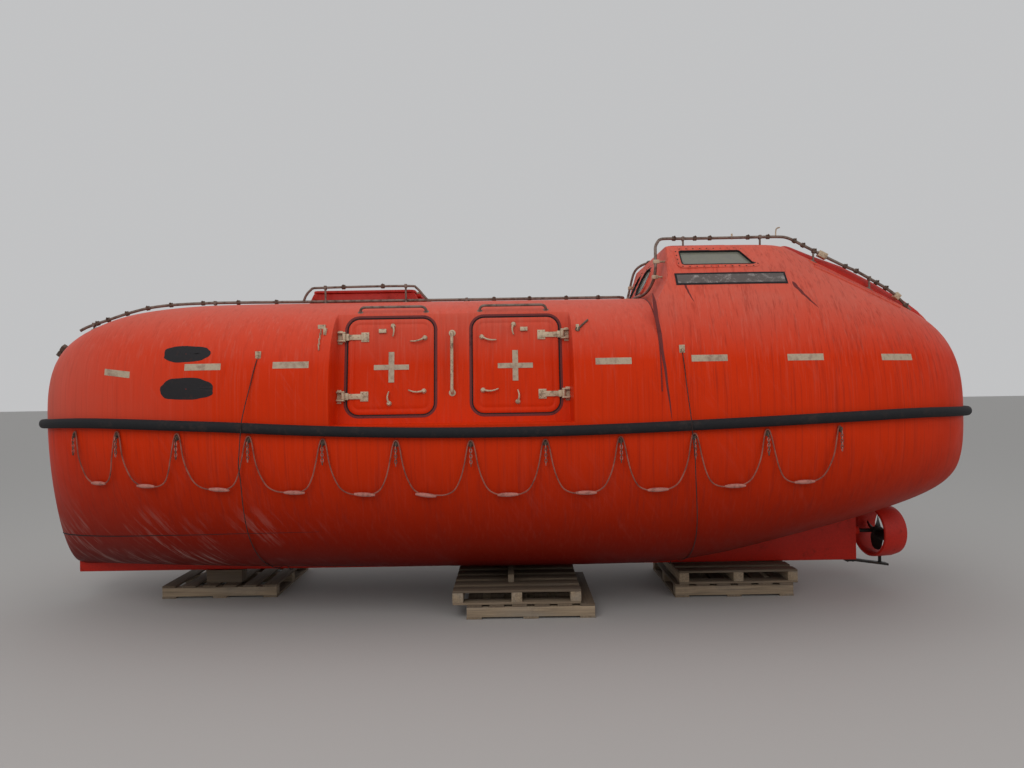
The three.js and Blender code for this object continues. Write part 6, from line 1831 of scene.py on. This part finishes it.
# Stage.
def make_stage():
    """Pale floor, three soft lights, an even sky and the camera at the photo's angle."""
    scene = bpy.context.scene
    across = np.linspace(-90, 90, 3)
    floor = object_from("studio_floor", sheet_shape(stacked(across[:, None], across, 0.0)))
    _, shader, _ = material("floor", None, 0.75)
    shader.inputs["Base Color"].default_value = (0.46, 0.45, 0.435, 1)
    floor.data.materials.append(MATERIALS["floor"])
    floor.data.shade_smooth()
    lights = (
        ("key", (-3.5, -9.5, 8.5), (52, 0, -20), 7.0, 330),
        ("fill", (7.0, -8.0, 5.0), (66, 0, 42), 6.0, 90),
        ("top", (0.5, -0.5, 9.5), (0, 0, 0), 9.0, 90),
    )
    for name, place, turned, size, power in lights:
        lamp = bpy.data.lights.new(name, "AREA")
        lamp.shape = "SQUARE"
        lamp.size = size
        lamp.energy = power
        holder = in_scene(name, lamp)
        holder.location = place
        holder.rotation_euler = [math.radians(a) for a in turned]
    world = bpy.data.worlds.new("studio")
    world.use_nodes = True
    sky = world.node_tree.nodes["Background"].inputs
    sky["Color"].default_value = (0.84, 0.845, 0.855, 1)
    sky["Strength"].default_value = 0.64
    scene.world = world
    lens = bpy.data.cameras.new("camera")
    lens.sensor_width = 36
    lens.sensor_fit = "HORIZONTAL"
    lens.lens = 26.02
    lens.shift_y = 0.0049
    lens.clip_end = 100
    camera = scene.camera = in_scene("camera", lens)
    turned = Matrix.Rotation(math.radians(90), 4, "X") @ Matrix.Rotation(math.radians(-0.9), 4, "Z")
    camera.matrix_world = Matrix.Translation((0.07, -7.2, 1.94)) @ turned
    scene.view_settings.view_transform = "Standard"


# The panel's buttons: one for each piece or group of like pieces.
class Step(bpy.types.Operator):
    """Builds one group of pieces."""

    bl_options = {"REGISTER", "UNDO"}

    def execute(self, context):
        self.build()
        return {"FINISHED"}


class LIFEBOAT_OT_finishes(Step):
    """Make the finishes that every piece uses"""

    bl_idname = "lifeboat.finishes"
    bl_label = "Finishes"
    build = staticmethod(make_finishes)


class LIFEBOAT_OT_stage(Step):
    """Make the floor, the lights and the camera"""

    bl_idname = "lifeboat.stage"
    bl_label = "Stage"
    build = staticmethod(make_stage)


class LIFEBOAT_OT_grab_lines(Step):
    """Make the looped grab lines with their floats"""

    bl_idname = "lifeboat.grab_lines"
    bl_label = "Grab Lines"
    build = staticmethod(make_grab_lines)


class LIFEBOAT_OT_securing_lines(Step):
    """Make the two lines that hold the boat"""

    bl_idname = "lifeboat.securing_lines"
    bl_label = "Securing Lines"
    build = staticmethod(make_securing_lines)


class LIFEBOAT_OT_hull(Step):
    """Make the hull shell"""

    bl_idname = "lifeboat.hull"
    bl_label = "Hull"
    build = staticmethod(make_hull)


class LIFEBOAT_OT_fore_canopy(Step):
    """Make the fore canopy with its door recesses"""

    bl_idname = "lifeboat.fore_canopy"
    bl_label = "Fore Canopy"
    build = staticmethod(make_fore_canopy)


class LIFEBOAT_OT_aft_canopy(Step):
    """Make the steering position and aft canopy"""

    bl_idname = "lifeboat.aft_canopy"
    bl_label = "Aft Canopy"
    build = staticmethod(make_aft_canopy)


class LIFEBOAT_OT_fender(Step):
    """Make the rubber fender"""

    bl_idname = "lifeboat.fender"
    bl_label = "Fender"
    build = staticmethod(make_fender)


class LIFEBOAT_OT_keel(Step):
    """Make the keel, skeg and heel bar"""

    bl_idname = "lifeboat.keel"
    bl_label = "Keel"
    build = staticmethod(make_keel)


class LIFEBOAT_OT_propulsion(Step):
    """Make the steering nozzle and the propeller"""

    bl_idname = "lifeboat.propulsion"
    bl_label = "Nozzle and Propeller"
    build = staticmethod(make_propulsion)


class LIFEBOAT_OT_doors(Step):
    """Make the four doors with levers, hinges, seals and crosses"""

    bl_idname = "lifeboat.doors"
    bl_label = "Doors"
    build = staticmethod(make_doors)


class LIFEBOAT_OT_windows(Step):
    """Make the panes with their frames and rivets"""

    bl_idname = "lifeboat.windows"
    bl_label = "Windows"
    build = staticmethod(make_windows)


class LIFEBOAT_OT_hatches(Step):
    """Make the hatch coamings and lids"""

    bl_idname = "lifeboat.hatches"
    bl_label = "Hatches"
    build = staticmethod(make_hatches)


class LIFEBOAT_OT_rails(Step):
    """Make the grab rails"""

    bl_idname = "lifeboat.rails"
    bl_label = "Rails"
    build = staticmethod(make_rails)


class LIFEBOAT_OT_pipes(Step):
    """Make the water-spray pipes with their fittings"""

    bl_idname = "lifeboat.pipes"
    bl_label = "Spray Pipes"
    build = staticmethod(make_pipes)


class LIFEBOAT_OT_fittings(Step):
    """Make eyes, chains, bitts, hooks and small rigging"""

    bl_idname = "lifeboat.fittings"
    bl_label = "Fittings"
    build = staticmethod(make_fittings)


class LIFEBOAT_OT_markings(Step):
    """Make the tapes, the blots and the blank plate"""

    bl_idname = "lifeboat.markings"
    bl_label = "Markings"
    build = staticmethod(make_markings)


class LIFEBOAT_OT_pallets(Step):
    """Make the pallets and timbers"""

    bl_idname = "lifeboat.pallets"
    bl_label = "Pallets"
    build = staticmethod(make_pallets)


class LIFEBOAT_OT_interior(Step):
    """Make the benches, engine casing, helm seat and console"""

    bl_idname = "lifeboat.interior"
    bl_label = "Interior"
    build = staticmethod(make_interior)


STEPS = tuple(Step.__subclasses__())


class LIFEBOAT_PT_pieces(bpy.types.Panel):
    """Lists the steps that build the boat, with its sizes and colours."""

    bl_idname = "LIFEBOAT_PT_pieces"
    bl_label = "Enclosed Lifeboat"
    bl_space_type = "VIEW_3D"
    bl_region_type = "UI"
    bl_category = "Lifeboat"

    def draw(self, context):
        for group in (context.scene.lifeboat_sizes, context.scene.lifeboat_colours):
            column = self.layout.column()
            for name in type(group).__annotations__:
                column.prop(group, name)
        for step in STEPS:
            self.layout.operator(step.bl_idname)


CLASSES = (BoatColours, BoatSizes, *STEPS, LIFEBOAT_PT_pieces)


def register():
    for known in CLASSES:
        bpy.utils.register_class(known)
    bpy.types.Scene.lifeboat_colours = PointerProperty(type=BoatColours)
    bpy.types.Scene.lifeboat_sizes = PointerProperty(type=BoatSizes)


def unregister():
    del bpy.types.Scene.lifeboat_sizes
    del bpy.types.Scene.lifeboat_colours
    for known in reversed(CLASSES):
        bpy.utils.unregister_class(known)


def main():
    """Builds the boat step by step."""
    register()
    for step in STEPS:
        group, name = step.bl_idname.split(".")
        getattr(getattr(bpy.ops, group), name)()
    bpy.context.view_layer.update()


if __name__ == "__main__":
    main()
